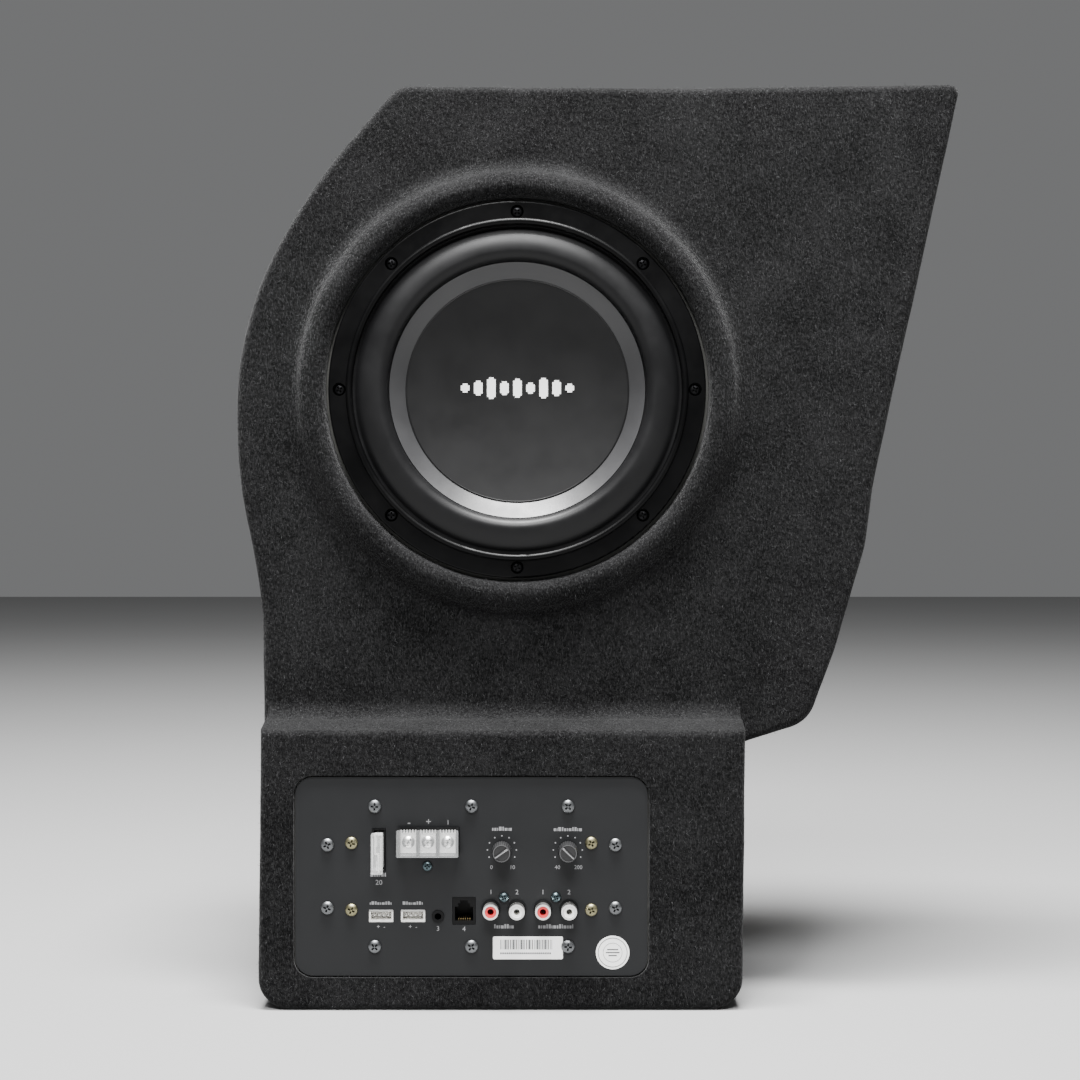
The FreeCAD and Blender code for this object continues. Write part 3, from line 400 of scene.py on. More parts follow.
class Finish(Enum):
    """Every finish on the subwoofer."""

    CARPET = Felt("needle_felt", (0.0002, 0.0002, 0.0003), (0.0225, 0.0225, 0.0230))
    FIBRE = Felt("felt_fibre", (0.0010, 0.0010, 0.0012), (0.150, 0.150, 0.154))
    PLATE = Moulded(
        "satin_black_powder", "black_paint", (0.0065, 0.0069, 0.0075), 0.48, 0.22, 0.022, 0.10, level=0.26,
    )
    FRAME = Moulded("black_stoved_paint", "black_steel", (0.018, 0.018, 0.018), 0.38, 0.4, 0.02)
    GASKET = Moulded(
        "gasket_rubber", "rubber", (0.0010, 0.0010, 0.0011), 0.36, 0.35, 0.01, 0.15, level=0.10,
    )
    BOOT = Moulded("boot_rubber", "rubber", (0.006, 0.006, 0.006), 0.6, 0.5, 0.03, level=0.2)
    SURROUND = Moulded(
        "roll_rubber", "surround_rubber", (0.0045, 0.0045, 0.0048), 0.40, 0.5, 0.012, 0.15, level=0.20,
    )
    SEAL = Moulded("closed_cell_foam", "foam", (0.02, 0.02, 0.02), 0.9, 0.6, 0.2, 0.3)
    CONE = Moulded(
        "coated_cone", "satin_cone", (0.030, 0.030, 0.031), 0.38, 0.6, 0.02, 0.10, level=0.46,
    )
    CAP = Moulded(
        "matt_cap_face", "matt_cap", (0.0035, 0.0035, 0.0037), 0.50, 0.35, 0.015, 0.08, level=0.24,
    )
    MARK = Moulded("white_print", "white_plastic", (0.90, 0.90, 0.89), 0.5, 0.3, 0.01, 0.05)
    # grey print, also used for the painted highlight line along each knob's grip bar
    PRINT = Moulded("grey_print_and_highlight", "white_plastic", (0.20, 0.20, 0.205), 0.6, 0.25, 0.005, 0.2)
    INK = Moulded("label_ink", "black_plastic", (0.05, 0.05, 0.052), 0.6, 0.25, 0.004, 0.2)
    PAPER = Moulded("label_paper", "paper", (0.90, 0.90, 0.885), 0.55, 0.3, 0.012, 0.04)
    SHELL = Moulded("glass_fibre_shell", "glass_fibre", (0.06, 0.06, 0.055), 0.6, 2.2, 0.3, 0.35)
    BLACK = Moulded(
        "black_moulding", "black_plastic", (0.0018, 0.0018, 0.0019), 0.42, 0.3, 0.02, level=0.15,
    )
    KNOB = Moulded("knob_moulding", "knob_plastic", (0.013, 0.013, 0.0135), 0.34, 0.25, 0.03, level=0.5)
    # painted highlight: the knob's rim ring is coloured lighter than the knob to stand in for the glint on its
    # edge
    KNOB_RIM_HIGHLIGHT = Moulded(
        "knob_rim_painted_highlight", "knob_plastic", (0.075, 0.075, 0.077), 0.40, 0.25, 0.02, level=0.5,
    )
    WHITE = Moulded("white_moulding", "white_plastic", (0.86, 0.85, 0.82), 0.36, 0.4, 0.015, 0.05)
    RED = Moulded("red_moulding", "red_plastic", (0.58, 0.030, 0.035), 0.34, 0.4, 0.015, 0.08)
    SLEEVE = Moulded("capacitor_sleeve", "capacitor_sleeve", (0.012, 0.02, 0.055), 0.3, 0.5, 0.01)
    GREEN = Moulded("solder_mask", "board_green", (0.012, 0.09, 0.035), 0.35, 1.2, 0.03, 0.3)
    LEAD = Moulded("lead_insulation", "lead_insulation", (0.3, 0.015, 0.015), 0.45, 0.5, 0.02)
    FERRITE = Moulded("ferrite", "ferrite", (0.035, 0.035, 0.038), 0.55, 0.5, 0.06, 0.25)
    ZINC = Metal("zinc_plate", "zinc_steel", (0.16, 0.165, 0.17), 0.38)
    YELLOW_ZINC = Metal("yellow_zinc_plate", "yellow_zinc", (0.27, 0.25, 0.15), 0.38)
    BLUE_ZINC = Metal("dark_zinc_plate", "blue_zinc", (0.085, 0.115, 0.125), 0.34)
    BLACK_STEEL = Metal("blackened_steel", "black_steel", (0.016, 0.016, 0.017), 0.42, (1, 1, 1), 0.3)
    NICKEL = Metal("nickel_plate", "nickel", (0.93, 0.92, 0.90), 0.30, (1, 1, 3), 0.08)
    GILT = Metal("gilt_contact", "gilt", (0.42, 0.31, 0.14), 0.3)
    ALUMINIUM = Metal("mill_aluminium", "aluminium", (0.72, 0.73, 0.75), 0.36, (1, 1, 12))
    COPPER = Metal("enamelled_copper", "copper", (0.72, 0.32, 0.15), 0.3, (4, 1, 1), 0.25)
    CLEAR = Clear("clear_moulding", "clear_plastic")
    FUSE = Clear("milky_fuse_body", "clear_plastic", (0.92, 0.93, 0.92), 0.26, 0.12)
    BOARD = Timber("raw_fibreboard", "board", (0.22, 0.15, 0.09), (0.42, 0.31, 0.2))
    PLYWOOD = Timber("raw_plywood", "plywood", (0.38, 0.25, 0.14), (0.66, 0.5, 0.32), (12, 1, 1))
    SPIDER = Woven("treated_cotton", "spider_cloth", (0.3, 0.2, 0.08), (0.62, 0.48, 0.25))
    BRAID = Woven("tinned_braid", "tinned_copper", (0.3, 0.26, 0.22), (0.75, 0.7, 0.62), 0.35, 0.8, 0.4)

    @property
    def material(self) -> bpy.types.Material:
        """The finish's material, made on first use."""
        return bpy.data.materials.get(self.value.name) or self.value.build()


# ---------------------------------------------------------------------------------------------
# Mesh helpers


def settle(mesh: bmesh.types.BMesh, name: str, sharp: float = 38.0) -> bpy.types.Object:
    """Turn a bmesh into an object at the origin, shaded smooth but for its sharp edges.

    Args:
        mesh: the geometry, in metres; it is freed.
        name: the object's name.
        sharp: edges that turn more than this many degrees stay sharp.
    Returns:
        The new object.
    """
    mesh.normal_update()
    for face in mesh.faces:
        face.smooth = True
    for edge in mesh.edges:
        edge.smooth = len(edge.link_faces) == 2 and edge.calc_face_angle(0.0) < math.radians(sharp)
    data = bpy.data.meshes.new(name)
    mesh.to_mesh(data)
    mesh.free()
    obj = bpy.data.objects.new(name, data)
    bpy.context.scene.collection.objects.link(obj)
    return obj


def dress(obj: bpy.types.Object, finish: Finish) -> bpy.types.Object:
    """Give an object one finish.

    Args:
        obj: a mesh object.
        finish: its finish.
    Returns:
        The same object.
    """
    obj.data.materials.clear()
    obj.data.materials.append(finish.material)
    return obj


def arc(centre: tuple[float, float], radius: float, start: float, end: float, steps: int) -> Profile:
    """Points of an arc on a half section.

    Args:
        centre: radius and height of the arc's centre.
        radius: the arc's radius.
        start: first angle in degrees, from the outward direction towards the front.
        end: last angle.
        steps: how many spans.
    Returns:
        The points, both ends included.
    """
    angles = [math.radians(start + (end - start) * i / steps) for i in range(steps + 1)]
    return [(centre[0] + radius * math.cos(a), centre[1] + radius * math.sin(a)) for a in angles]


def joined(parts: Iterable[bpy.types.Object], name: str) -> bpy.types.Object:
    """Put several meshes into one object; the first one's material stays.

    Args:
        parts: mesh objects at the origin; they are removed.
        name: the new object's name.
    Returns:
        The joined object.
    """
    mesh = bmesh.new()
    for part in list(parts):
        mesh.from_mesh(part.data)
        bpy.data.objects.remove(part)
    return settle(mesh, name)


def evaluated(obj: bpy.types.Object, name: str) -> bpy.types.Object:
    """A plain mesh of what an object's modifiers give; the object is removed.

    Args:
        obj: object with modifiers.
        name: the new object's name.
    Returns:
        The plain object.
    """
    graph = bpy.context.evaluated_depsgraph_get()
    data = bpy.data.meshes.new_from_object(obj.evaluated_get(graph), depsgraph=graph)
    data.name = name
    result = bpy.data.objects.new(name, data)
    bpy.context.scene.collection.objects.link(result)
    bpy.data.objects.remove(obj)
    return result


def block(low: Sequence[float], high: Sequence[float]) -> bmesh.types.BMesh:
    """A box between two corners in metres, as a bmesh."""
    mesh = bmesh.new()
    size = Vector(high) - Vector(low)
    middle = (Vector(high) + Vector(low)) / 2
    bmesh.ops.create_cube(mesh, size=1.0, matrix=Matrix.Translation(middle) @ Matrix.Diagonal((*size, 1)))
    return mesh


def cad_copy(node: bpy.types.Object) -> bmesh.types.BMesh:
    """A merged copy of a CAD node's mesh."""
    mesh = bmesh.new()
    mesh.from_mesh(node.data)
    bmesh.ops.remove_doubles(mesh, verts=mesh.verts, dist=1e-6)
    return mesh


# ---------------------------------------------------------------------------------------------
# Geometry Nodes


class Grower:
    """A Geometry Nodes tree with named inputs, used once on a base mesh."""

    def __init__(self, name: str) -> None:
        """Start a tree that takes and gives geometry."""
        self.tree = bpy.data.node_groups.new(name, "GeometryNodeTree")
        self.tree.interface.new_socket(name="Geometry", in_out="INPUT", socket_type="NodeSocketGeometry")
        self.tree.interface.new_socket(name="Geometry", in_out="OUTPUT", socket_type="NodeSocketGeometry")
        self.inputs: dict[str, bpy.types.NodeTreeInterfaceSocket] = {}
        self.start: Optional[bpy.types.Node] = None

    def take(self, name: str, kind: str) -> None:
        """Add a named input of a socket type."""
        self.inputs[name] = self.tree.interface.new_socket(name=name, in_out="INPUT", socket_type=kind)

    def add(self, kind: str, **settings: Any) -> bpy.types.Node:
        """Add a node and set its properties.

        Args:
            kind: Blender's node type.
            settings: properties of the node.
        Returns:
            The new node.
        """
        node = self.tree.nodes.new(kind)
        for key, value in settings.items():
            setattr(node, key, value)
        return node

    def given(self, name: str) -> bpy.types.NodeSocket:
        """The group input's socket of that name."""
        if self.start is None:
            self.start = self.add("NodeGroupInput")
        return self.start.outputs[name]

    def join(self, out: bpy.types.NodeSocket, into: bpy.types.NodeSocket) -> None:
        """Link two sockets."""
        self.tree.links.new(out, into)

    def random(self, kind: str, low: Any, high: Any) -> bpy.types.NodeSocket:
        """A random value for each point.

        Args:
            kind: FLOAT or FLOAT_VECTOR.
            low: least value.
            high: largest value.
        Returns:
            The value's socket.
        """
        node = self.add("FunctionNodeRandomValue", data_type=kind)
        pair = (0, 1) if kind == "FLOAT_VECTOR" else (2, 3)
        node.inputs[pair[0]].default_value = low
        node.inputs[pair[1]].default_value = high
        self.join(self.given("Seed"), node.inputs["Seed"])
        return node.outputs[0] if kind == "FLOAT_VECTOR" else node.outputs[1]

    def close(self, instances: bpy.types.NodeSocket) -> None:
        """End the tree: realize the instances and set their material."""
        realize = self.add("GeometryNodeRealizeInstances")
        paint = self.add("GeometryNodeSetMaterial")
        end = self.add("NodeGroupOutput")
        self.join(instances, realize.inputs[0])
        self.join(realize.outputs[0], paint.inputs["Geometry"])
        self.join(self.given("Finish"), paint.inputs["Material"])
        self.join(paint.outputs[0], end.inputs[0])

    def grow(self, base: bpy.types.Object, name: str, **values: Any) -> bpy.types.Object:
        """Run the tree on a base object, which is removed.

        Args:
            base: the object that gives points or faces.
            name: the new object's name.
            values: the named inputs' values.
        Returns:
            A plain mesh object.
        """
        modifier = base.modifiers.new(name, "NODES")
        modifier.node_group = self.tree
        for key, value in values.items():
            modifier[self.inputs[key].identifier] = value
        return evaluated(base, name)


def scatter_on_points() -> Grower:
    """Tree that sets one object on every vertex, each turned by chance about Y."""
    grower = Grower("set_on_points")
    grower.take("Piece", "NodeSocketObject")
    grower.take("Turn", "NodeSocketFloat")
    grower.take("Seed", "NodeSocketInt")
    grower.take("Finish", "NodeSocketMaterial")
    info = grower.add("GeometryNodeObjectInfo")
    grower.join(grower.given("Piece"), info.inputs["Object"])
    turns = grower.random("FLOAT_VECTOR", (0, 0, 0), (0, 1, 0))
    scaled = grower.add("ShaderNodeVectorMath", operation="SCALE")
    grower.join(turns, scaled.inputs[0])
    grower.join(grower.given("Turn"), scaled.inputs["Scale"])
    instance = grower.add("GeometryNodeInstanceOnPoints")
    grower.join(grower.given("Geometry"), instance.inputs["Points"])
    grower.join(info.outputs["Geometry"], instance.inputs["Instance"])
    grower.join(scaled.outputs[0], instance.inputs["Rotation"])
    grower.close(instance.outputs[0])
    return grower


def fuzz_on_faces() -> Grower:
    """Tree that strews short fibres over faces, lying nearly flat in all directions."""
    grower = Grower("felt_fuzz")
    grower.take("Fibre", "NodeSocketObject")
    grower.take("Density", "NodeSocketFloat")
    grower.take("Seed", "NodeSocketInt")
    grower.take("Finish", "NodeSocketMaterial")
    share = grower.add("GeometryNodeInputNamedAttribute", data_type="FLOAT")
    share.inputs["Name"].default_value = CarpetSkin.NAP
    density = grower.add("ShaderNodeMath", operation="MULTIPLY")
    grower.join(share.outputs[0], density.inputs[0])
    grower.join(grower.given("Density"), density.inputs[1])
    strewn = grower.add("GeometryNodeDistributePointsOnFaces")
    grower.join(grower.given("Geometry"), strewn.inputs["Mesh"])
    grower.join(density.outputs[0], strewn.inputs["Density"])
    grower.join(grower.given("Seed"), strewn.inputs["Seed"])
    tilt = grower.random("FLOAT_VECTOR", (0.75, 0, -math.pi), (1.5, 0, math.pi))
    turned = grower.add("FunctionNodeRotateRotation", rotation_space="LOCAL")
    grower.join(strewn.outputs["Rotation"], turned.inputs[0])
    grower.join(tilt, turned.inputs[1])
    info = grower.add("GeometryNodeObjectInfo")
    grower.join(grower.given("Fibre"), info.inputs["Object"])
    instance = grower.add("GeometryNodeInstanceOnPoints")
    grower.join(strewn.outputs["Points"], instance.inputs["Points"])
    grower.join(info.outputs["Geometry"], instance.inputs["Instance"])
    grower.join(turned.outputs[0], instance.inputs["Rotation"])
    grower.join(grower.random("FLOAT", 0.45, 1.25), instance.inputs["Scale"])
    grower.close(instance.outputs[0])
    return grower


def points_object(places: Iterable[Sequence[float]], name: str = "places") -> bpy.types.Object:
    """An object of loose vertices at the given places in metres."""
    data = bpy.data.meshes.new(name)
    data.from_pydata([tuple(p) for p in places], [], [])
    obj = bpy.data.objects.new(name, data)
    bpy.context.scene.collection.objects.link(obj)
    return obj


# ---------------------------------------------------------------------------------------------
# Screws


class Facing(Enum):
    """Which way a screw's head points."""

    FRONT = -1
    BACK = 1


@dataclass
class CrossScrew:
    """Pan head screw with a cross recess, whose sizes are shares of the head's."""

    head_r: float
    head_h: float
    shank_r: float
    length: float
    facing: Facing = Facing.FRONT
    sides: int = 40
    pitch: float = 1.1
    plain_tip: float = 1.5
    edge_share: float = 0.3
    arm_share: float = 0.60
    slit_share: float = 0.135
    floor_share: float = 0.3
    taper: float = 0.7

    def template(self) -> bpy.types.Object:
        """One screw at the origin, its head's underside at y = 0.

        Returns:
            The screw as a plain mesh object.
        """
        crown = 1.0 - self.edge_share
        dome = [(self.head_r * math.cos(a), self.head_h * (self.edge_share + crown * math.sin(a)))
                for a in [math.radians(15 * i) for i in range(6)]]
        threads = []
        depth = self.shank_r * 0.16
        turns = int((self.length - self.plain_tip) / self.pitch)
        for i in range(turns):
            base = -self.length + self.plain_tip + self.pitch * i
            threads += [(self.shank_r - depth, base), (self.shank_r, base + self.pitch * 0.5)]
        section = [(0, -self.length), (self.shank_r * 0.4, -self.length + 0.4), *threads, (self.shank_r, 0.0),
                   (self.head_r * 0.97, 0.0), *dome, (0, self.head_h)]
        body = Lathe(Vector((0, 0, 0)), self.sides, self.facing.value).solid(section, "screw")
        recess = self.recess()
        cut = body.modifiers.new("recess", "BOOLEAN")
        cut.operation = "DIFFERENCE"
        cut.solver = "MANIFOLD"
        cut.object = recess
        result = evaluated(body, "screw_template")
        bpy.data.objects.remove(recess)
        mesh = bmesh.new()
        mesh.from_mesh(result.data)
        bpy.data.objects.remove(result)
        return settle(mesh, "screw_template", 30.0)

    def recess(self) -> bpy.types.Object:
        """The tapered cross that is cut out of the head."""
        mesh = bmesh.new()
        arm, half = self.head_r * self.arm_share * MM, self.head_r * self.slit_share * MM
        top, floor = (self.head_h + 0.2) * MM, -self.head_h * self.floor_share * MM
        for turn in (0.0, math.pi / 2):
            ring = []
            for level, scale in ((top, 1.0), (floor, self.taper)):
                for sx, sz in ((-1, -1), (1, -1), (1, 1), (-1, 1)):
                    x, z = sx * arm * scale, sz * half * (0.8 + 0.2 * scale)
                    spot = Vector((x, self.facing.value * level, z))
                    spot.rotate(Matrix.Rotation(turn, 3, "Y"))
                    ring.append(mesh.verts.new(spot))
            a, b = ring[:4], ring[4:]
            mesh.faces.new(a)
            mesh.faces.new(b[::-1])
            for i in range(4):
                mesh.faces.new((a[i], b[i], b[(i + 1) % 4], a[(i + 1) % 4]))
        bmesh.ops.recalc_face_normals(mesh, faces=mesh.faces)
        return settle(mesh, "recess")

    def row(self, places: Iterable[Sequence[float]], name: str, finish: Finish, seed: int) -> bpy.types.Object:
        """All the screws of one kind.

        Args:
            places: where each head's underside is, in metres.
            name: the row's name.
            finish: the screws' finish.
            seed: picks how each is turned.
        Returns:
            One object with every screw.
        """
        template = self.template()
        row = scatter_on_points().grow(
            points_object(places), name, Piece=template, Turn=FULL_TURN, Seed=seed, Finish=finish.material,
        )
        bpy.data.objects.remove(template)
        return row


@dataclass
class Lathe:
    """Turns half sections about a line along Y."""

    centre: Vector
    sides: int = 160
    facing: int = -1

    def spot(self, radius: float, height: float, angle: float) -> Vector:
        """A point in metres from radius and height in millimetres."""
        across = Vector((math.cos(angle), 0, math.sin(angle))) * radius * MM
        return self.centre + across + Vector((0, self.facing * height * MM, 0))

    def rings(self, section: Profile, closed: bool) -> bmesh.types.BMesh:
        """The surface of a turned section.

        Args:
            section: points of radius and height in millimetres.
            closed: whether the last point joins the first.
        Returns:
            The surface, its faces not yet pointing one way.
        """
        mesh = bmesh.new()
        rows = []
        for radius, height in section:
            if radius < ON_AXIS:
                rows.append([mesh.verts.new(self.spot(0, height, 0))] * self.sides)
                continue
            turns = [2 * math.pi * i / self.sides for i in range(self.sides)]
            rows.append([mesh.verts.new(self.spot(radius, height, turn)) for turn in turns])
        pairs = list(zip(rows, rows[1:])) + ([(rows[-1], rows[0])] if closed else [])
        for inner, outer in pairs:
            for i in range(self.sides):
                j = (i + 1) % self.sides
                corners = list(dict.fromkeys((inner[i], inner[j], outer[j], outer[i])))
                if len(corners) > 2:
                    mesh.faces.new(corners)
        bmesh.ops.recalc_face_normals(mesh, faces=mesh.faces)
        return mesh

    def solid(self, section: Profile, name: str, sharp: float = 38.0) -> bpy.types.Object:
        """A closed turned solid; sections that start and end on the axis close there.

        Args:
            section: points of radius and height in millimetres.
            name: the object's name.
            sharp: edges that turn more than this many degrees stay sharp.
        Returns:
            The object.
        """
        on_axis = section[0][0] < ON_AXIS and section[-1][0] < ON_AXIS
        return settle(self.rings(section, not on_axis), name, sharp)


# ---------------------------------------------------------------------------------------------
# Carpet


@dataclass
class CarpetSkin:
    """Felt skin over the moulded shell, and the loose fibres that stand out of it."""

    NAP = "nap"  # the attribute that says where fibres grow

    frame: dict[str, Any]
    mesh_size: float = 6.0
    cut_shift_m: float = 0.00013
    outside_from: float = 1.3
    broad_wave: float = 26.0
    fine_wave: float = 7.0
    swell: float = 0.35
    fibre_length: float = 2.1
    fibre_width: float = 0.085
    fibres_per_m2: float = 105000.0

    def build(self) -> None:
        """Make the skin and its fibres, in place of the plain CAD carpet."""
        skin = self.skin()
        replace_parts(skin, "carpet")
        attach(skin, "enclosure")
        fuzz = self.fuzz(skin)
        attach(fuzz, "enclosure")
        LOG.info("carpet: %d faces, fibres: %d faces", len(skin.data.polygons), len(fuzz.data.polygons))

    def cut(self, mesh: bmesh.types.BMesh) -> None:
        """Cut a mesh by evenly spaced planes, so that it can carry small waves."""
        low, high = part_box("carpet")
        step = self.mesh_size * MM
        for axis in range(3):
            normal = Vector([1.0 if i == axis else 0.0 for i in range(3)])
            count = int((high[axis] - low[axis]) / step)
            for i in range(1, count + 1):
                point = normal * (low[axis] + step * i + self.cut_shift_m)
                everything = mesh.verts[:] + mesh.edges[:] + mesh.faces[:]
                bmesh.ops.bisect_plane(mesh, geom=everything, dist=1e-7, plane_co=point, plane_no=normal)

    def skin(self) -> bpy.types.Object:
        """The felt's body: the CAD skin cut fine, with the felt's uneven thickness.

        Returns:
            The skin, with the attribute that says where fibres grow.
        """
        mesh = cad_copy(self.frame["nodes"]["carpet"])
        self.cut(mesh)
        mesh.normal_update()
        shell = cad_copy(self.frame["nodes"]["front_shell"])
        shell_tree = BVHTree.FromBMesh(shell)
        shares = []
        for vert in mesh.verts:
            distance = shell_tree.find_nearest(vert.co)[3] / MM
            shares.append(min(1.0, max(0.0, distance - self.outside_from)))
        shell.free()
        broad_share, fine_share, pressed = 0.7, 0.4, 0.25
        for vert, share in zip(mesh.verts, shares):
            broad = noise.noise(vert.co / (self.broad_wave * MM))
            fine = noise.noise(vert.co / (self.fine_wave * MM) + Vector((7, 3, 1)))
            lift = (broad_share * broad + fine_share * fine - pressed) * self.swell * share
            vert.co += vert.normal * lift * MM
        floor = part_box("carpet")[0].z
        for vert in mesh.verts:
            vert.co.z = max(vert.co.z, floor)
        obj = settle(mesh, "carpet_felt", 42.0)
        attribute = obj.data.attributes.new(self.NAP, "FLOAT", "POINT")
        attribute.data.foreach_set("value", shares)
        return dress(obj, Finish.CARPET)

    def fibre(self) -> bpy.types.Object:
        """One bent fibre, rooted at the origin along Z."""
        mesh = bmesh.new()
        half, length = self.fibre_width * MM / 2, self.fibre_length * MM
        rows = []
        for rise, bow, width in ((-0.05, 0.0, 1.0), (0.5, 0.16, 0.9), (1.0, 0.05, 0.4)):
            edges = (-half * width, half * width)
            rows.append([mesh.verts.new((across, bow * length, rise * length)) for across in edges])
        for low, high in zip(rows, rows[1:]):
            mesh.faces.new((low[0], low[1], high[1], high[0]))
        return settle(mesh, "fibre_template", 60.0)

    def fuzz(self, skin: bpy.types.Object) -> bpy.types.Object:
        """Fibres strewn over the outside of the skin.

        Args:
            skin: the felt's body.
        Returns:
            All fibres as one mesh.
        """
        base = skin.copy()
        base.data = skin.data.copy()
        base.parent = None
        bpy.context.scene.collection.objects.link(base)
        template = self.fibre()
        fuzz = fuzz_on_faces().grow(
            base, "carpet_fibres", Fibre=template, Density=self.fibres_per_m2, Seed=11,
            Finish=Finish.FIBRE.material,
        )
        bpy.data.objects.remove(template)
        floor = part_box("carpet")[0].z
        for vert in fuzz.data.vertices:
            vert.co.z = max(vert.co.z, floor)
        return dress(fuzz, Finish.FIBRE)


# ---------------------------------------------------------------------------------------------
# Driver


@dataclass
class Driver:
    """The 8 inch driver. Heights are in front of the enclosure's face."""

    frame: dict[str, Any]
    foot_h: float = 3.0
    foot_r: float = 103.0
    foot_inner_r: float = 90.4
    roll_r: float = 77.0
    roll_h: float = 7.6
    roll_inside: float = 6.0
    roll_outside: float = 19.28
    rubber: float = 1.0
    glue: float = 1.5
    cone_r: float = 70.7
    cone_h: float = 2.0
    slope: float = 0.8
    neck_r: float = 25.6
    cap_r: float = 62.2
    cap_dish: float = 5.4
    screw_circle: float = 98.0
    screws: int = 8
    lathe: Lathe = field(init=False)

    def __post_init__(self) -> None:
        """Find the driver's axis from the CAD gasket, whose back lies on the surround's foot."""
        low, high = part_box("gasket_ring")
        face_y = high.y + self.foot_h * MM
        self.lathe = Lathe(Vector(((low.x + high.x) / 2, face_y, (low.z + high.z) / 2)), 192)

    def build(self) -> None:
        """Make the driver's visible pieces and dress its CAD ones."""
        self.gasket()
        self.surround()
        self.cone()
        self.cap()
        self.spider()
        self.tinsel()
        self.level_bars()
        self.driver_screws()
        LOG.info("driver: surround, gasket, cone, cap, spider and %d screws", self.screws)

    def height(self, radius: float) -> float:
        """Height of the cone's front at a radius."""
        return self.cone_h + (radius - self.cone_r) * self.slope

    def gasket(self) -> None:
        """Rubber trim ring with a bead inside and a stepped well round each screw."""
        dress(self.frame["nodes"]["gasket_ring"], Finish.GASKET)

    def roll(self, deeper: float) -> Profile:
        """The roll's crest line, from its outer foot to its inner end.

        Args:
            deeper: how far behind the rubber's front, in millimetres.
        Returns:
            Points of the section.
        """
        outer, inner = self.roll_outside - deeper, self.roll_inside - deeper
        middle = self.roll_h - self.roll_outside
        reach = math.sqrt(outer ** 2 - (self.foot_h - deeper - middle) ** 2)
        start = math.degrees(math.acos(reach / outer))
        low = (self.roll_r, self.roll_h - self.roll_inside)
        return [*arc((self.roll_r, middle), outer, start, 90.0, 24)[:-1], *arc(low, inner, 90.0, 180.0, 16)]

    def surround(self) -> None:
        """Roll of rubber, steep inside and gentle outside, that follows the cone on its inner edge."""
        front, back = self.roll(0.0), self.roll(self.rubber)
        tab = [
            (front[-1][0], self.height(71) - self.glue), (68.5, self.height(68.5) - self.glue),
            (66.0, self.height(66) - self.glue), (66.5, self.height(66) - self.glue - 0.8),
            (back[-1][0], self.height(72) - self.glue - 1.0),
        ]
        section = [
            (self.foot_r, 2.05), (self.foot_r, self.foot_h), (self.foot_inner_r, self.foot_h), *front, *tab,
            *reversed(back), (89.6, 2.02),
        ]
        piece = self.lathe.solid(section, "surround_roll", 50.0)
        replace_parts(dress(piece, Finish.SURROUND), "surround")
        self.follow(piece)

    def follow(self, piece: bpy.types.Object) -> None:
        """Bake a ring's transform into its mesh.

        Args:
            piece: a mesh with no parent.
        """
        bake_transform(piece)

    def cone(self) -> None:
        """Coated cone; only its rim shows round the cap."""
        thick = 1.2
        steps = [self.neck_r + (self.cone_r - self.neck_r) * i / 12 for i in range(13)]
        front = [(r, self.height(r)) for r in steps]
        rim_h = self.height(self.cone_r)
        edge = [(self.cone_r + 0.12, rim_h - 0.3), (self.cone_r, rim_h - thick)]
        back = [(r, self.height(r) - thick) for r in reversed(steps[:-1])]
        piece = self.lathe.solid(front + edge + back, "cone_paper", 30.0)
        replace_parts(dress(piece, Finish.CONE), "cone")
        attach(piece, "cone_drive")

    def cap_height(self, radius: float) -> float:
        """Height of the dished cap's face at a radius."""
        edge = self.height(self.cap_r) + 0.4
        sphere = (self.cap_r ** 2 + self.cap_dish ** 2) / (2 * self.cap_dish)
        return edge - self.cap_dish + sphere - math.sqrt(sphere ** 2 - radius ** 2)

    def cap(self) -> None:
        """Wide dished cap with a small raised bead at its edge."""
        reach = self.cap_r - 0.9
        steps = [reach * i / 20 for i in range(21)]
        front = [(r, self.cap_height(r)) for r in steps]
        top = self.cap_height(self.cap_r)
        bead = [(self.cap_r - 0.7, top + 0.06), (self.cap_r - 0.35, top + 0.05), (self.cap_r, top - 0.15),
                (self.cap_r - 0.35, top - 0.55)]
        back = [(r, self.cap_height(r) - 0.65) for r in reversed(steps)]
        piece = self.lathe.solid(front + bead + back, "dust_cap_disc", 30.0)
        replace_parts(dress(piece, Finish.CAP), "dust_cap")
        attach(piece, "cone_drive")

    def spider(self) -> None:
        """Corrugated cloth suspension behind the cone."""
        inner, wave_r, outer = 26.0, 57.0, 65.5
        waves, rise, mid, thick = 4, 1.6, -38.4, 0.6
        count = 12 * waves
        top = []
        for i in range(count + 1):
            radius = inner + (wave_r - inner) * i / count
            lift = rise * 0.5 * (1 - math.cos(2 * math.pi * waves * i / count))
            top.append((radius, mid + lift))
        top += [(wave_r + 2, mid), (outer, mid)]
        section = top + [(r, h - thick) for r, h in reversed(top)]
        piece = self.lathe.solid(section, "spider_disc", 50.0)
        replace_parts(dress(piece, Finish.SPIDER), "spider")
        self.follow(piece)

    def tinsel(self) -> None:
        """Braided leads from the terminals to the cone."""
        piece = settle(cad_copy(self.frame["nodes"]["tinsel_leads"]), "tinsel_braids", 60.0)
        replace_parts(dress(piece, Finish.BRAID), "tinsel_leads")
        self.follow(piece)

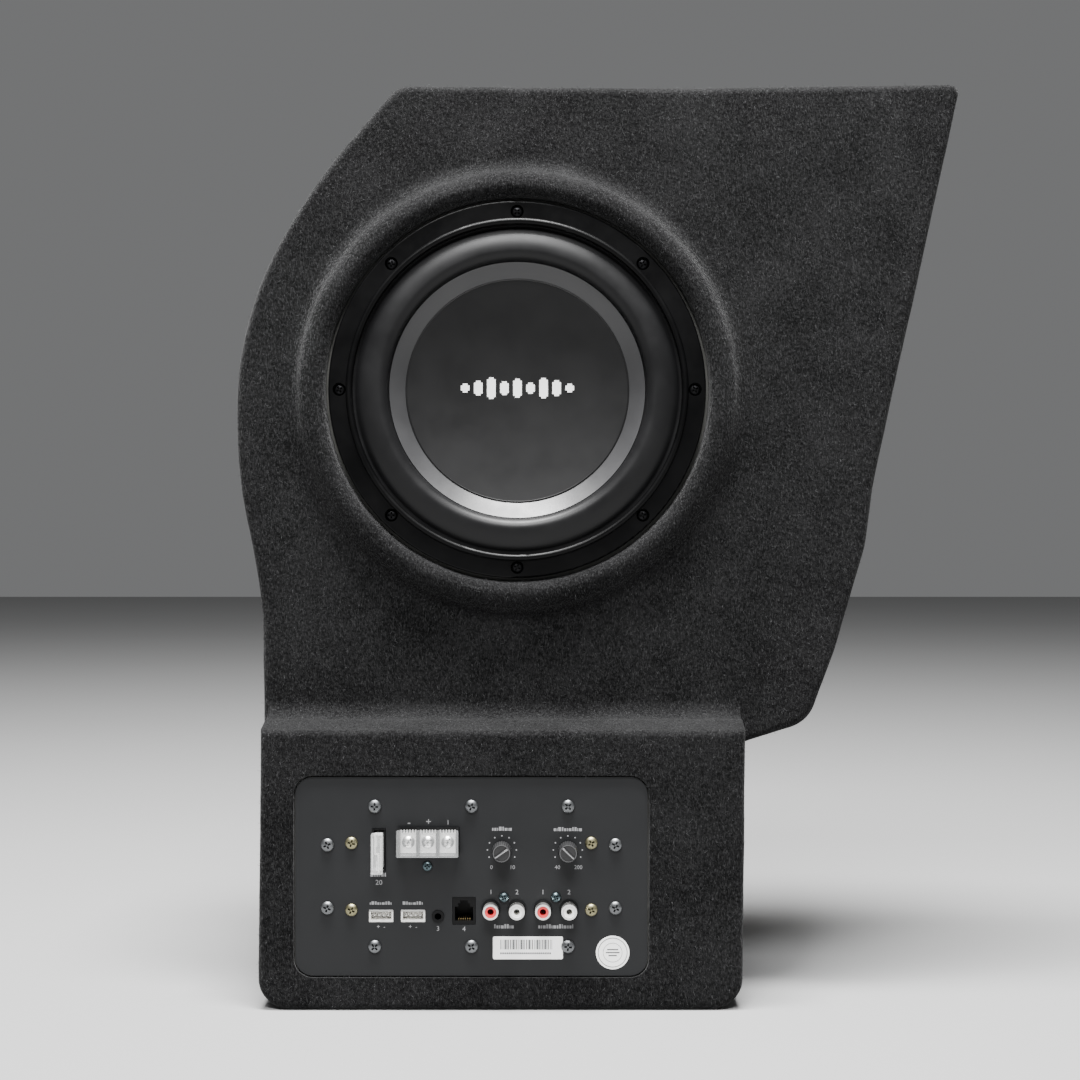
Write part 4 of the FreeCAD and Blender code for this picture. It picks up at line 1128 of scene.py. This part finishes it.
    def level_bars(self) -> None:
        """White mark on the cap: a plain row of bars of uneven height."""
        heights = (5.0, 8.2, 12.0, 7.6, 10.6, 6.2, 11.4, 8.8, 4.8)
        pitch, width = 7.3, 4.8
        lift, thick, above_axis, corner = 0.09, 0.25, 1.9, 1.1
        centre = self.lathe.centre
        parts = []
        for i, tall in enumerate(heights):
            across = (i - (len(heights) - 1) / 2) * pitch
            front = centre.y - (self.cap_height(abs(across) + width / 2) + lift) * MM
            left, right = centre.x + (across - width / 2) * MM, centre.x + (across + width / 2) * MM
            below, top = centre.z + (above_axis - tall / 2) * MM, centre.z + (above_axis + tall / 2) * MM
            bar = block((left, front, below), (right, front + thick * MM, top))
            corners = [e for e in bar.edges if abs(e.verts[0].co.y - e.verts[1].co.y) > 1e-6]
            bmesh.ops.bevel(bar, geom=corners, offset=corner * MM, segments=5, affect="EDGES")
            parts.append(settle(bar, "bar"))
        mark = joined(parts, "cap_mark")
        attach(dress(mark, Finish.MARK), "cone_drive")

    def driver_screws(self) -> None:
        """Black screws in the gasket's wells."""
        turns = [2 * math.pi * i / self.screws for i in range(self.screws)]
        places = [self.lathe.spot(self.screw_circle, self.foot_h, turn) for turn in turns]
        row = CrossScrew(3.3, 1.9, 2.0, 19.0).row(places, "driver_screw_row", Finish.BLACK_STEEL, 4)
        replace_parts(dress(row, Finish.BLACK_STEEL), "driver_screws")
        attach(row, "enclosure")


# ---------------------------------------------------------------------------------------------
# Amplifier plate


@dataclass
class AmplifierPlate:
    """The black plate with the controls. Places are from its middle: u to the right, w up."""

    frame: dict[str, Any]
    perimeter: Sequence[tuple[float, float]] = (
        (-52.0, 37.7), (0.0, 37.7), (52.0, 37.7), (-52.0, -37.7), (0.0, -37.7), (52.0, -37.7),
        (-77.5, 17.0), (-77.5, -17.0), (77.5, 17.0), (77.5, -17.0),
    )
    brackets: Sequence[tuple[float, float]] = ((-64.5, 18.0), (-64.5, -18.0), (64.5, 18.0), (64.5, -18.0))
    blocks: Sequence[tuple[float, float]] = ((-23.7, 5.6), (17.5, -11.2), (45.5, -11.2))
    knobs: Sequence[tuple[float, float]] = ((16.4, 14.0), (51.9, 14.0))
    terminal: tuple[float, float] = (-23.1, 19.2)
    cell: float = 10.53
    terminal_ledge: float = 3.4
    terminal_top: float = 6.58
    ink: float = 0.05
    middle: Vector = field(init=False)

    def __post_init__(self) -> None:
        """Find the plate's middle and its front."""
        low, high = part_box("amp_plate")
        self.middle = Vector(((low.x + high.x) / 2, low.y, (low.z + high.z) / 2))

    def spot(self, u: float, w: float, lift: float = 0.0) -> Vector:
        """A point on the plate's front, lifted off it by some millimetres."""
        return self.middle + Vector((u * MM, -lift * MM, w * MM))

    def build(self) -> None:
        """Make the screws and the printing."""
        rows = (
            ("plate_screw", CrossScrew(3.6, 2.2, 1.7, 18.0), self.perimeter, Finish.ZINC, 3),
            ("bracket_screw", CrossScrew(3.4, 2.2, 1.5, 7.5), self.brackets, Finish.YELLOW_ZINC, 8),
            ("block_screw", CrossScrew(2.7, 2.2, 1.4, 4.0), self.blocks, Finish.BLUE_ZINC, 6),
        )
        count = 0
        for name, kind, places, finish, seed in rows:
            row = kind.row([self.spot(u, w) for u, w in places], f"{name}_row", finish, seed)
            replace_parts(dress(row, finish), f"{name}s")
            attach(row, "enclosure")
            count += len(places)
        self.terminal_ribs()
        self.fuse_ribs()
        self.dials()
        self.symbols()
        self.label_print()
        LOG.info("plate: %d screws, terminals, fuse, two dials, signs and labels", count)

    def print_on(self, parts: list[bpy.types.Object], name: str, finish: Finish) -> None:
        """Join printed marks and let them ride with the plate."""
        mark = joined(parts, name)
        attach(dress(mark, finish), "enclosure")

    def bar(
        self, u: float, w: float, width: float, height: float, lift: float = 0.0, turn: float = 0.0,
    ) -> bpy.types.Object:
        """A printed bar.

        Args:
            u: middle, to the right.
            w: middle, up.
            width: along u.
            height: along w.
            lift: how far its underside is off the plate.
            turn: degrees anticlockwise.
        Returns:
            The bar.
        """
        thick = self.ink * MM
        half = Vector((width / 2 * MM, thick / 2, height / 2 * MM))
        mesh = block(-half, half)
        mesh.transform(Matrix.Rotation(-math.radians(turn), 4, "Y"))
        mesh.transform(Matrix.Translation(self.spot(u, w, lift + self.ink / 2)))
        return settle(mesh, "bar")

    def figure(self, words: str, u: float, w: float, size: float, lift: float = 0.0) -> bpy.types.Object:
        """Printed figures or signs.

        Args:
            words: what is printed.
            u: middle, to the right.
            w: middle, up.
            size: height of the line.
            lift: how far it is off the plate.
        Returns:
            The print as a mesh.
        """
        curve = bpy.data.curves.new("figure", "FONT")
        curve.body = words
        curve.size = size * MM
        curve.extrude = self.ink * MM / 2
        curve.align_x = "CENTER"
        curve.align_y = "CENTER"
        curve.resolution_u = 3
        letter = bpy.data.objects.new("figure", curve)
        bpy.context.scene.collection.objects.link(letter)
        flat = evaluated(letter, "figure")
        upright = Matrix.Rotation(math.pi / 2, 4, "X")
        flat.data.transform(Matrix.Translation(self.spot(u, w, lift + self.ink / 2)) @ upright)
        return flat

    def ridge(self, u: float, w: float, size: Sequence[float], lift: float) -> bpy.types.Object:
        """A small block with softened edges.

        Args:
            u: middle, to the right.
            w: middle, up.
            size: width, depth and height.
            lift: how far its back is off the plate.
        Returns:
            The block.
        """
        half = Vector(size) * (MM / 2)
        mesh = block(-half, half)
        bmesh.ops.bevel(mesh, geom=mesh.edges[:], offset=min(size) * 0.2 * MM, segments=2, affect="EDGES")
        mesh.transform(Matrix.Translation(self.spot(u, w, lift + size[1] / 2)))
        return settle(mesh, "ridge")

    def terminal_ribs(self) -> None:
        """Row of black guard ribs over each power terminal's mouth, and a thin black stroke on its screw's top as
        painted shade for the slot.
        """
        u, w = self.terminal
        ribs = []
        for cell in (-1, 0, 1):
            middle = u + cell * self.cell
            ribs.append(self.ridge(middle, w + 6.9, (9.0, 1.0, 0.5), self.terminal_ledge))
            for i in (-2, -1, 0, 1, 2):
                ribs.append(self.ridge(middle + 1.55 * i, w + 5.9, (0.75, 1.0, 2.0), self.terminal_ledge))
        self.print_on(ribs, "terminal_ribs", Finish.BLACK)
        # painted shade: a black sheet one ink layer thick on each clamp screw's top stands in for the dark of its
        # slot
        for cell, turn in ((-1, 52.0), (0, 38.0), (1, 61.0)):
            stroke = self.bar(u + cell * self.cell, w, 5.2, 0.85, self.terminal_top, turn)
            slot = joined([stroke], f"terminal_slot_{cell + 2}")
            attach(dress(slot, Finish.BLACK), f"terminal_clamp_{cell + 2}")

    def fuse_ribs(self) -> None:
        """Ridges on the fuse's cap and the link seen through it."""
        low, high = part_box("fuse_body")
        u = ((low.x + high.x) / 2 - self.middle.x) / MM
        w = ((low.z + high.z) / 2 - self.middle.z) / MM
        front = (self.middle.y - low.y) / MM
        ribs = [
            self.ridge(u + across, w + up, (0.7, 0.5, tall), front - 0.25)
            for across, up, tall in ((-2.2, 0.0, 17.0), (2.2, 0.0, 17.0), (0.0, 6.4, 5.0), (0.0, -6.4, 5.0))
        ]
        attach(dress(joined(ribs, "fuse_ribs"), Finish.FUSE), "fuse")
        strips = ((-0.9, 5.2, 1.0, 9.6), (0.9, -5.2, 1.0, 9.6), (0.0, 0.0, 2.8, 0.9))
        link = [
            self.ridge(u + across, w + up, (wide, 0.4, tall), front - 1.4) for across, up, wide, tall in strips
        ]
        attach(dress(joined(link, "fuse_link"), Finish.NICKEL), "fuse")

    def dials(self) -> None:
        """Nine dots round each knob, and the figures at both ends."""
        count, first, sweep, ring_r, dot_r = 9, -28, 236, 7.8, 0.42 * MM
        places = []
        for u, w in self.knobs:
            for i in range(count):
                angle = math.radians(first + sweep * i / (count - 1))
                places.append(self.spot(u + ring_r * math.cos(angle), w + ring_r * math.sin(angle), self.ink))
        dot = bmesh.new()
        bmesh.ops.create_cone(
            dot, cap_ends=True, segments=14, radius1=dot_r, radius2=dot_r, depth=self.ink * MM,
        )
        dot.transform(Matrix.Rotation(math.pi / 2, 4, "X"))
        template = settle(dot, "dot_template")
        dots = scatter_on_points().grow(
            points_object(places), "dial_dots", Piece=template, Turn=0.0, Seed=1, Finish=Finish.PRINT.material,
        )
        bpy.data.objects.remove(template)
        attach(dress(dots, Finish.PRINT), "enclosure")
        figures = []
        for (u, w), (low, high) in zip(self.knobs, (("0", "10"), ("40", "200"))):
            figures.append(self.figure(low, u - 5.6, w - 9.2, 3.0))
            figures.append(self.figure(high, u + 5.6, w - 9.2, 3.0))
        self.print_on(figures, "dial_figures", Finish.PRINT)

    def dashes(self, u: float, w: float, width: float, height: float, seed: int) -> list[bpy.types.Object]:
        """A line of short strokes of uneven width, in place of a word.

        Args:
            u: middle, to the right.
            w: middle, up.
            width: of the whole line.
            height: of the strokes.
            seed: picks the strokes.
        Returns:
            The strokes.
        """
        strokes = []
        gap, least = 0.42, 0.5
        across, index, end = u - width / 2, seed, u + width / 2
        while across < end - least:
            stroke = min((0.5, 1.5, 0.8, 1.1)[index % 4], end - across)
            tall = height * (1.0, 0.72, 0.72, 1.0, 0.72)[(index * 3) % 5]
            strokes.append(self.bar(across + stroke / 2, w - (height - tall) / 2, stroke, tall * 0.9))
            across += stroke + gap
            index += 1
        return strokes

    def symbols(self) -> None:
        """Plain signs and strokes in place of words."""
        signs = (
            ("-", -33.6, 29.0, 6.0), ("+", -23.1, 29.2, 5.4), ("1", -12.6, 28.9, 3.6), ("20", -49.8, -3.4, 3.8),
            ("+  -", -48.7, -27.2, 3.2), ("+  -", -31.5, -27.2, 3.2), ("3", -18.0, -28.2, 3.6),
            ("4", -4.0, -28.4, 3.6),
        )
        parts = [self.figure(*sign) for sign in signs]
        lines = (
            (-49.8, 0.9, 9.0, 2.3, 1), (16.4, 25.6, 10.6, 2.3, 2), (51.9, 25.4, 15.2, 2.3, 3),
            (-48.7, -14.4, 12.0, 1.9, 4), (-31.5, -14.4, 11.0, 1.9, 5), (17.5, -26.9, 10.6, 2.5, 6),
            (45.5, -26.9, 19.0, 2.5, 7),
        )
        for line in lines:
            parts += self.dashes(*line)
        for place in (10.5, 38.5):
            parts.append(self.figure("1", place, -8.6, 3.6))
            parts.append(self.figure("2", place + 14.0, -8.6, 3.6))
        self.print_on(parts, "plate_signs", Finish.PRINT)

    def label_print(self) -> None:
        """Bars on the long label and plain rings on the round one."""
        widths = (0.5, 0.25, 0.25, 0.75, 0.25, 0.5, 0.5, 0.25, 0.75, 0.25)
        lift, seal = 0.121, (76.0, -41.0)
        parts = []
        across, end, index = 15.6, 43.5, 0
        while across < end:
            width = widths[index % len(widths)]
            parts.append(self.bar(across + width / 2, -36.7, width, 5.2, lift))
            across += width + widths[(index * 7 + 3) % len(widths)]
            index += 1
        for i in range(24):
            parts.append(self.bar(15.9 + 1.15 * i, -41.4, 0.8, 0.9, lift))
        ring, top = Lathe(self.spot(*seal), 64), lift + self.ink
        for inner, outer in ((7.6, 7.95), (5.0, 5.2)):
            parts.append(ring.solid([(inner, lift), (outer, lift), (outer, top), (inner, top)], "ring"))
        for row, width in ((1.6, 6.0), (0.0, 7.4), (-1.6, 4.6)):
            parts.append(self.bar(seal[0], seal[1] + row, width, 0.6, lift))
        self.print_on(parts, "label_marks", Finish.INK)


@dataclass
class ControlKnob:
    """Small fluted knob: a face inside a rim, a raised grip bar and a button beside its end."""

    node: str
    body: str
    pointer: float
    grip: float = 9.0
    rim_behind_front: float = 0.8
    flutes: int = 24
    flute_depth: float = 0.055
    sides: int = 192
    lathe: Lathe = field(init=False)
    back: float = field(init=False)
    front: float = field(init=False)

    def __post_init__(self) -> None:
        """Find the knob's axis, its foot on the plate and its rim from the CAD node."""
        low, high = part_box(self.node)
        self.lathe = Lathe(Vector(((low.x + high.x) / 2, high.y, (low.z + high.z) / 2)), self.sides)
        self.front = (high.y - low.y) / MM - self.rim_behind_front
        self.back = self.front - self.grip

    def build(self) -> None:
        """Make the knob in place of its CAD node."""
        parts = [self.turning(), self.bar(), self.button()]
        knob = joined(parts, self.node + "_grip")
        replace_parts(dress(knob, Finish.KNOB), self.node)
        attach(knob, self.body)
        self.trim()
        LOG.info("%s: %d faces", self.node, len(knob.data.polygons))

    def turning(self) -> bpy.types.Object:
        """Shaft, fluted skirt and crown, and the face with its rim."""
        back, front, fluted_from = self.back, self.front, 4.8
        section = [
            (0, 0), (2.95, 0), (2.95, back), (4.9, back), (5.3, back + 0.3), (5.3, back + 4.2), (5.0, back + 4.6),
            (4.9, front - 0.5), (4.6, front), (4.15, front), (4.0, front - 0.6), (0, front - 0.6),
        ]
        knob = self.lathe.solid(section, "knob", 24.0)
        for vert in knob.data.vertices:
            offset = vert.co - self.lathe.centre
            radius = math.hypot(offset.x, offset.z) / MM
            if radius > fluted_from:
                wave = 0.5 - 0.5 * math.cos(self.flutes * math.atan2(offset.z, offset.x))
                scale = 1.0 - self.flute_depth * wave ** 3
                vert.co.x = self.lathe.centre.x + offset.x * scale
                vert.co.z = self.lathe.centre.z + offset.z * scale
        return knob

    def bar(
        self, wide: float = 1.5, tall: float = 1.3, bevel: float = 0.25, rise: float = 0.3,
    ) -> bpy.types.Object:
        """Bar across the face, with rounded edges.

        Args:
            wide: its width in millimetres.
            tall: its depth along the axis.
            bevel: rounding of its edges.
            rise: how far its middle is in front of the rim.
        Returns:
            The bar.
        """
        half_length = 4.05
        half = Vector((half_length * MM, tall / 2 * MM, wide / 2 * MM))
        mesh = block(-half, half)
        bmesh.ops.bevel(mesh, geom=mesh.edges[:], offset=bevel * MM, segments=3, affect="EDGES")
        mesh.transform(Matrix.Rotation(-math.radians(self.pointer), 4, "Y"))
        mesh.transform(Matrix.Translation(self.lathe.centre - Vector((0, (self.front + rise) * MM, 0))))
        return settle(mesh, "bar")

    def trim(self) -> None:
        """Painted highlights: a lighter ring round the face stands in for the glint on its rim, and a pale line
        along the grip bar stands in for the highlight on the bar's upper side.
        """
        low, high = self.front - 0.1, self.front + 0.08
        # painted highlight: a lighter ring round the face
        rim = self.lathe.solid([(4.2, low), (4.55, low), (4.55, high), (4.2, high)], "rim")
        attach(dress(joined([rim], self.node + "_rim"), Finish.KNOB_RIM_HIGHLIGHT), self.body)
        # painted highlight: a pale grey line on top of the grip bar stands in for the highlight on the bar's
        # upper side
        line = self.bar(0.62, 0.14, 0.03, 0.97)
        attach(dress(joined([line], self.node + "_line"), Finish.PRINT), self.body)

    def button(self) -> bpy.types.Object:
        """Small button on the face beside the bar."""
        from_axis, radius, crown = 3.1, 0.5, 0.3
        low, edge, top = self.front - 0.9, self.front - 0.3, self.front - 0.2
        spot = self.lathe.spot(from_axis, 0, math.radians(self.pointer - 90.0))
        small = Lathe(Vector((spot.x, self.lathe.centre.y, spot.z)), 24)
        return small.solid([(0, low), (radius, low), (radius, edge), (crown, top), (0, top)], "button")


# ---------------------------------------------------------------------------------------------
# CAD nodes that keep their shape


@dataclass
class CadFinishes:
    """Finishes of the CAD nodes that stay as they are."""

    frame: dict[str, Any]
    finishes: dict[Finish, Sequence[str]] = field(default_factory=lambda: {
        Finish.SHELL: ("front_shell",),
        Finish.BOARD: ("back_panel", "batten_frame", "amp_frame", "bay_divider"),
        Finish.PLYWOOD: ("driver_ring",),
        Finish.BOOT: ("lead_grommet", "magnet_boot"),
        Finish.ZINC: ("threaded_inserts", "top_plate", "yoke"),
        Finish.FRAME: ("basket",),
        Finish.SEAL: ("basket_seal", "plate_seal"),
        Finish.ALUMINIUM: ("coil_former", "heatsinks"),
        Finish.COPPER: ("voice_coil", "toroid"),
        Finish.FERRITE: ("magnet",),
        Finish.GREEN: ("driver_terminals", "main_board", "front_board"),
        Finish.LEAD: ("speaker_leads",),
        Finish.PLATE: ("amp_plate",),
        Finish.SLEEVE: ("capacitors",),
        Finish.BLACK: (
            "transistors", "terminal_block", "fuse_holder", "potentiometers", "aux_jack", "remote_jack",
            "rca_bodies",
        ),
        Finish.NICKEL: (
            "terminal_plates", "terminal_screw_1", "terminal_screw_2", "terminal_screw_3", "fuse_blades",
            "header_pins", "rca_shells",
        ),
        Finish.GILT: ("remote_contacts",),
        Finish.WHITE: ("level_sockets", "rca_cores_white"),
        Finish.RED: ("rca_cores_red",),
        Finish.CLEAR: ("terminal_cover",),
        Finish.FUSE: ("fuse_body",),
        Finish.PAPER: ("labels",),
    })

    def build(self) -> None:
        """Dress the nodes."""
        for finish, names in self.finishes.items():
            for name in names:
                dress(self.frame["nodes"][name], finish)
        LOG.info("CAD nodes: %d finishes", len(self.finishes))


@dataclass
class BackScrews:
    """Black screws round the back panel."""

    frame: dict[str, Any]
    places: Sequence[tuple[float, float]] = (
        (-90.0, 492.0), (20.0, 492.0), (130.0, 492.0), (164.0, 410.0), (144.0, 310.0), (121.0, 215.0),
        (65.0, 60.0), (0.0, 14.0), (-100.0, 14.0), (-171.5, 60.0), (-171.5, 190.0), (-185.0, 310.0),
        (-165.0, 412.0),
    )

    def build(self) -> None:
        """Make the row of screws."""
        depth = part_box("back_panel")[1].y
        spots = [Vector((x * MM, depth, z * MM)) for x, z in self.places]
        row = CrossScrew(3.9, 1.9, 2.0, 24.0, Facing.BACK).row(spots, "back_screw_row", Finish.BLACK_STEEL, 9)
        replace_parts(dress(row, Finish.BLACK_STEEL), "back_screws")
        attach(row, "enclosure")
        LOG.info("back: %d screws", len(self.places))


# ---------------------------------------------------------------------------------------------
# Studio


@dataclass
class Studio:
    """Pale floor, soft light and the camera, all in metres."""

    eye: Vector = field(default_factory=lambda: Vector((-0.0316, -1.0415, 0.253)))
    lens_mm: float = 60.17
    aim: Vector = field(default_factory=lambda: Vector((0, 0, 0.25)))
    floor_size: float = 14.0
    sky_strength: float = 0.20

    def build(self) -> None:
        """Set up everything round the object."""
        self.floor()
        self.sky()
        self.light("key", (-0.08, -0.34, 1.85), 0.9, 0.40, 190.0)
        self.light("front", (-0.2, -1.9, 2.35), 1.3, 0.7, 150.0)
        self.camera()
        LOG.info("studio: floor, two lights and the camera")

    def floor(self) -> None:
        """Plain pale floor."""
        mesh = bmesh.new()
        bmesh.ops.create_grid(mesh, x_segments=1, y_segments=1, size=self.floor_size / 2)
        floor = settle(mesh, "studio_floor")
        sheet = Sheet("pale_floor")
        cloud = sheet.noise(900.0, 2.0, 0.5)
        shade = sheet.tint(cloud, (0.26, 0.26, 0.26), (0.28, 0.28, 0.28))
        sheet.join(shade, sheet.surface.inputs["Base Color"])
        sheet.set(Roughness=0.9)
        floor.data.materials.append(sheet.material)

    def sky(self) -> None:
        """Even pale surroundings."""
        world = bpy.data.worlds.new("studio")
        world.use_nodes = True
        back = world.node_tree.nodes["Background"]
        back.inputs["Color"].default_value = (0.86, 0.87, 0.88, 1)
        back.inputs["Strength"].default_value = self.sky_strength
        bpy.context.scene.world = world

    def light(self, name: str, place: Sequence[float], width: float, height: float, power: float) -> None:
        """A soft panel aimed at the object's middle.

        Args:
            name: the light's name.
            place: where it hangs, in metres.
            width: its width in metres.
            height: its height in metres.
            power: watts.
        """
        data = bpy.data.lights.new(name, "AREA")
        data.shape = "RECTANGLE"
        data.size = width
        data.size_y = height
        data.energy = power
        lamp = bpy.data.objects.new(name, data)
        lamp.location = place
        lamp.rotation_euler = (self.aim - Vector(place)).to_track_quat("-Z", "Y").to_euler()
        bpy.context.scene.collection.objects.link(lamp)

    def camera(self) -> None:
        """Level camera in front of the object."""
        data = bpy.data.cameras.new("camera")
        data.lens = self.lens_mm
        data.sensor_width = 36.0
        data.clip_start = 0.01
        camera = bpy.data.objects.new("camera", data)
        camera.location = self.eye
        camera.rotation_euler = (math.pi / 2, 0, 0)
        bpy.context.scene.collection.objects.link(camera)
        bpy.context.scene.camera = camera


def main() -> None:
    """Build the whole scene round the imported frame."""
    logging.basicConfig(level=logging.INFO, format="%(name)s: %(message)s")
    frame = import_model()
    CadFinishes(frame).build()
    CarpetSkin(frame).build()
    Driver(frame).build()
    AmplifierPlate(frame).build()
    ControlKnob("volume_knob", "volume_control", 214.0).build()
    ControlKnob("frequency_knob", "frequency_control", -43.0).build()
    BackScrews(frame).build()
    Studio().build()
    bpy.context.view_layer.update()


if __name__ == "__main__":
    main()
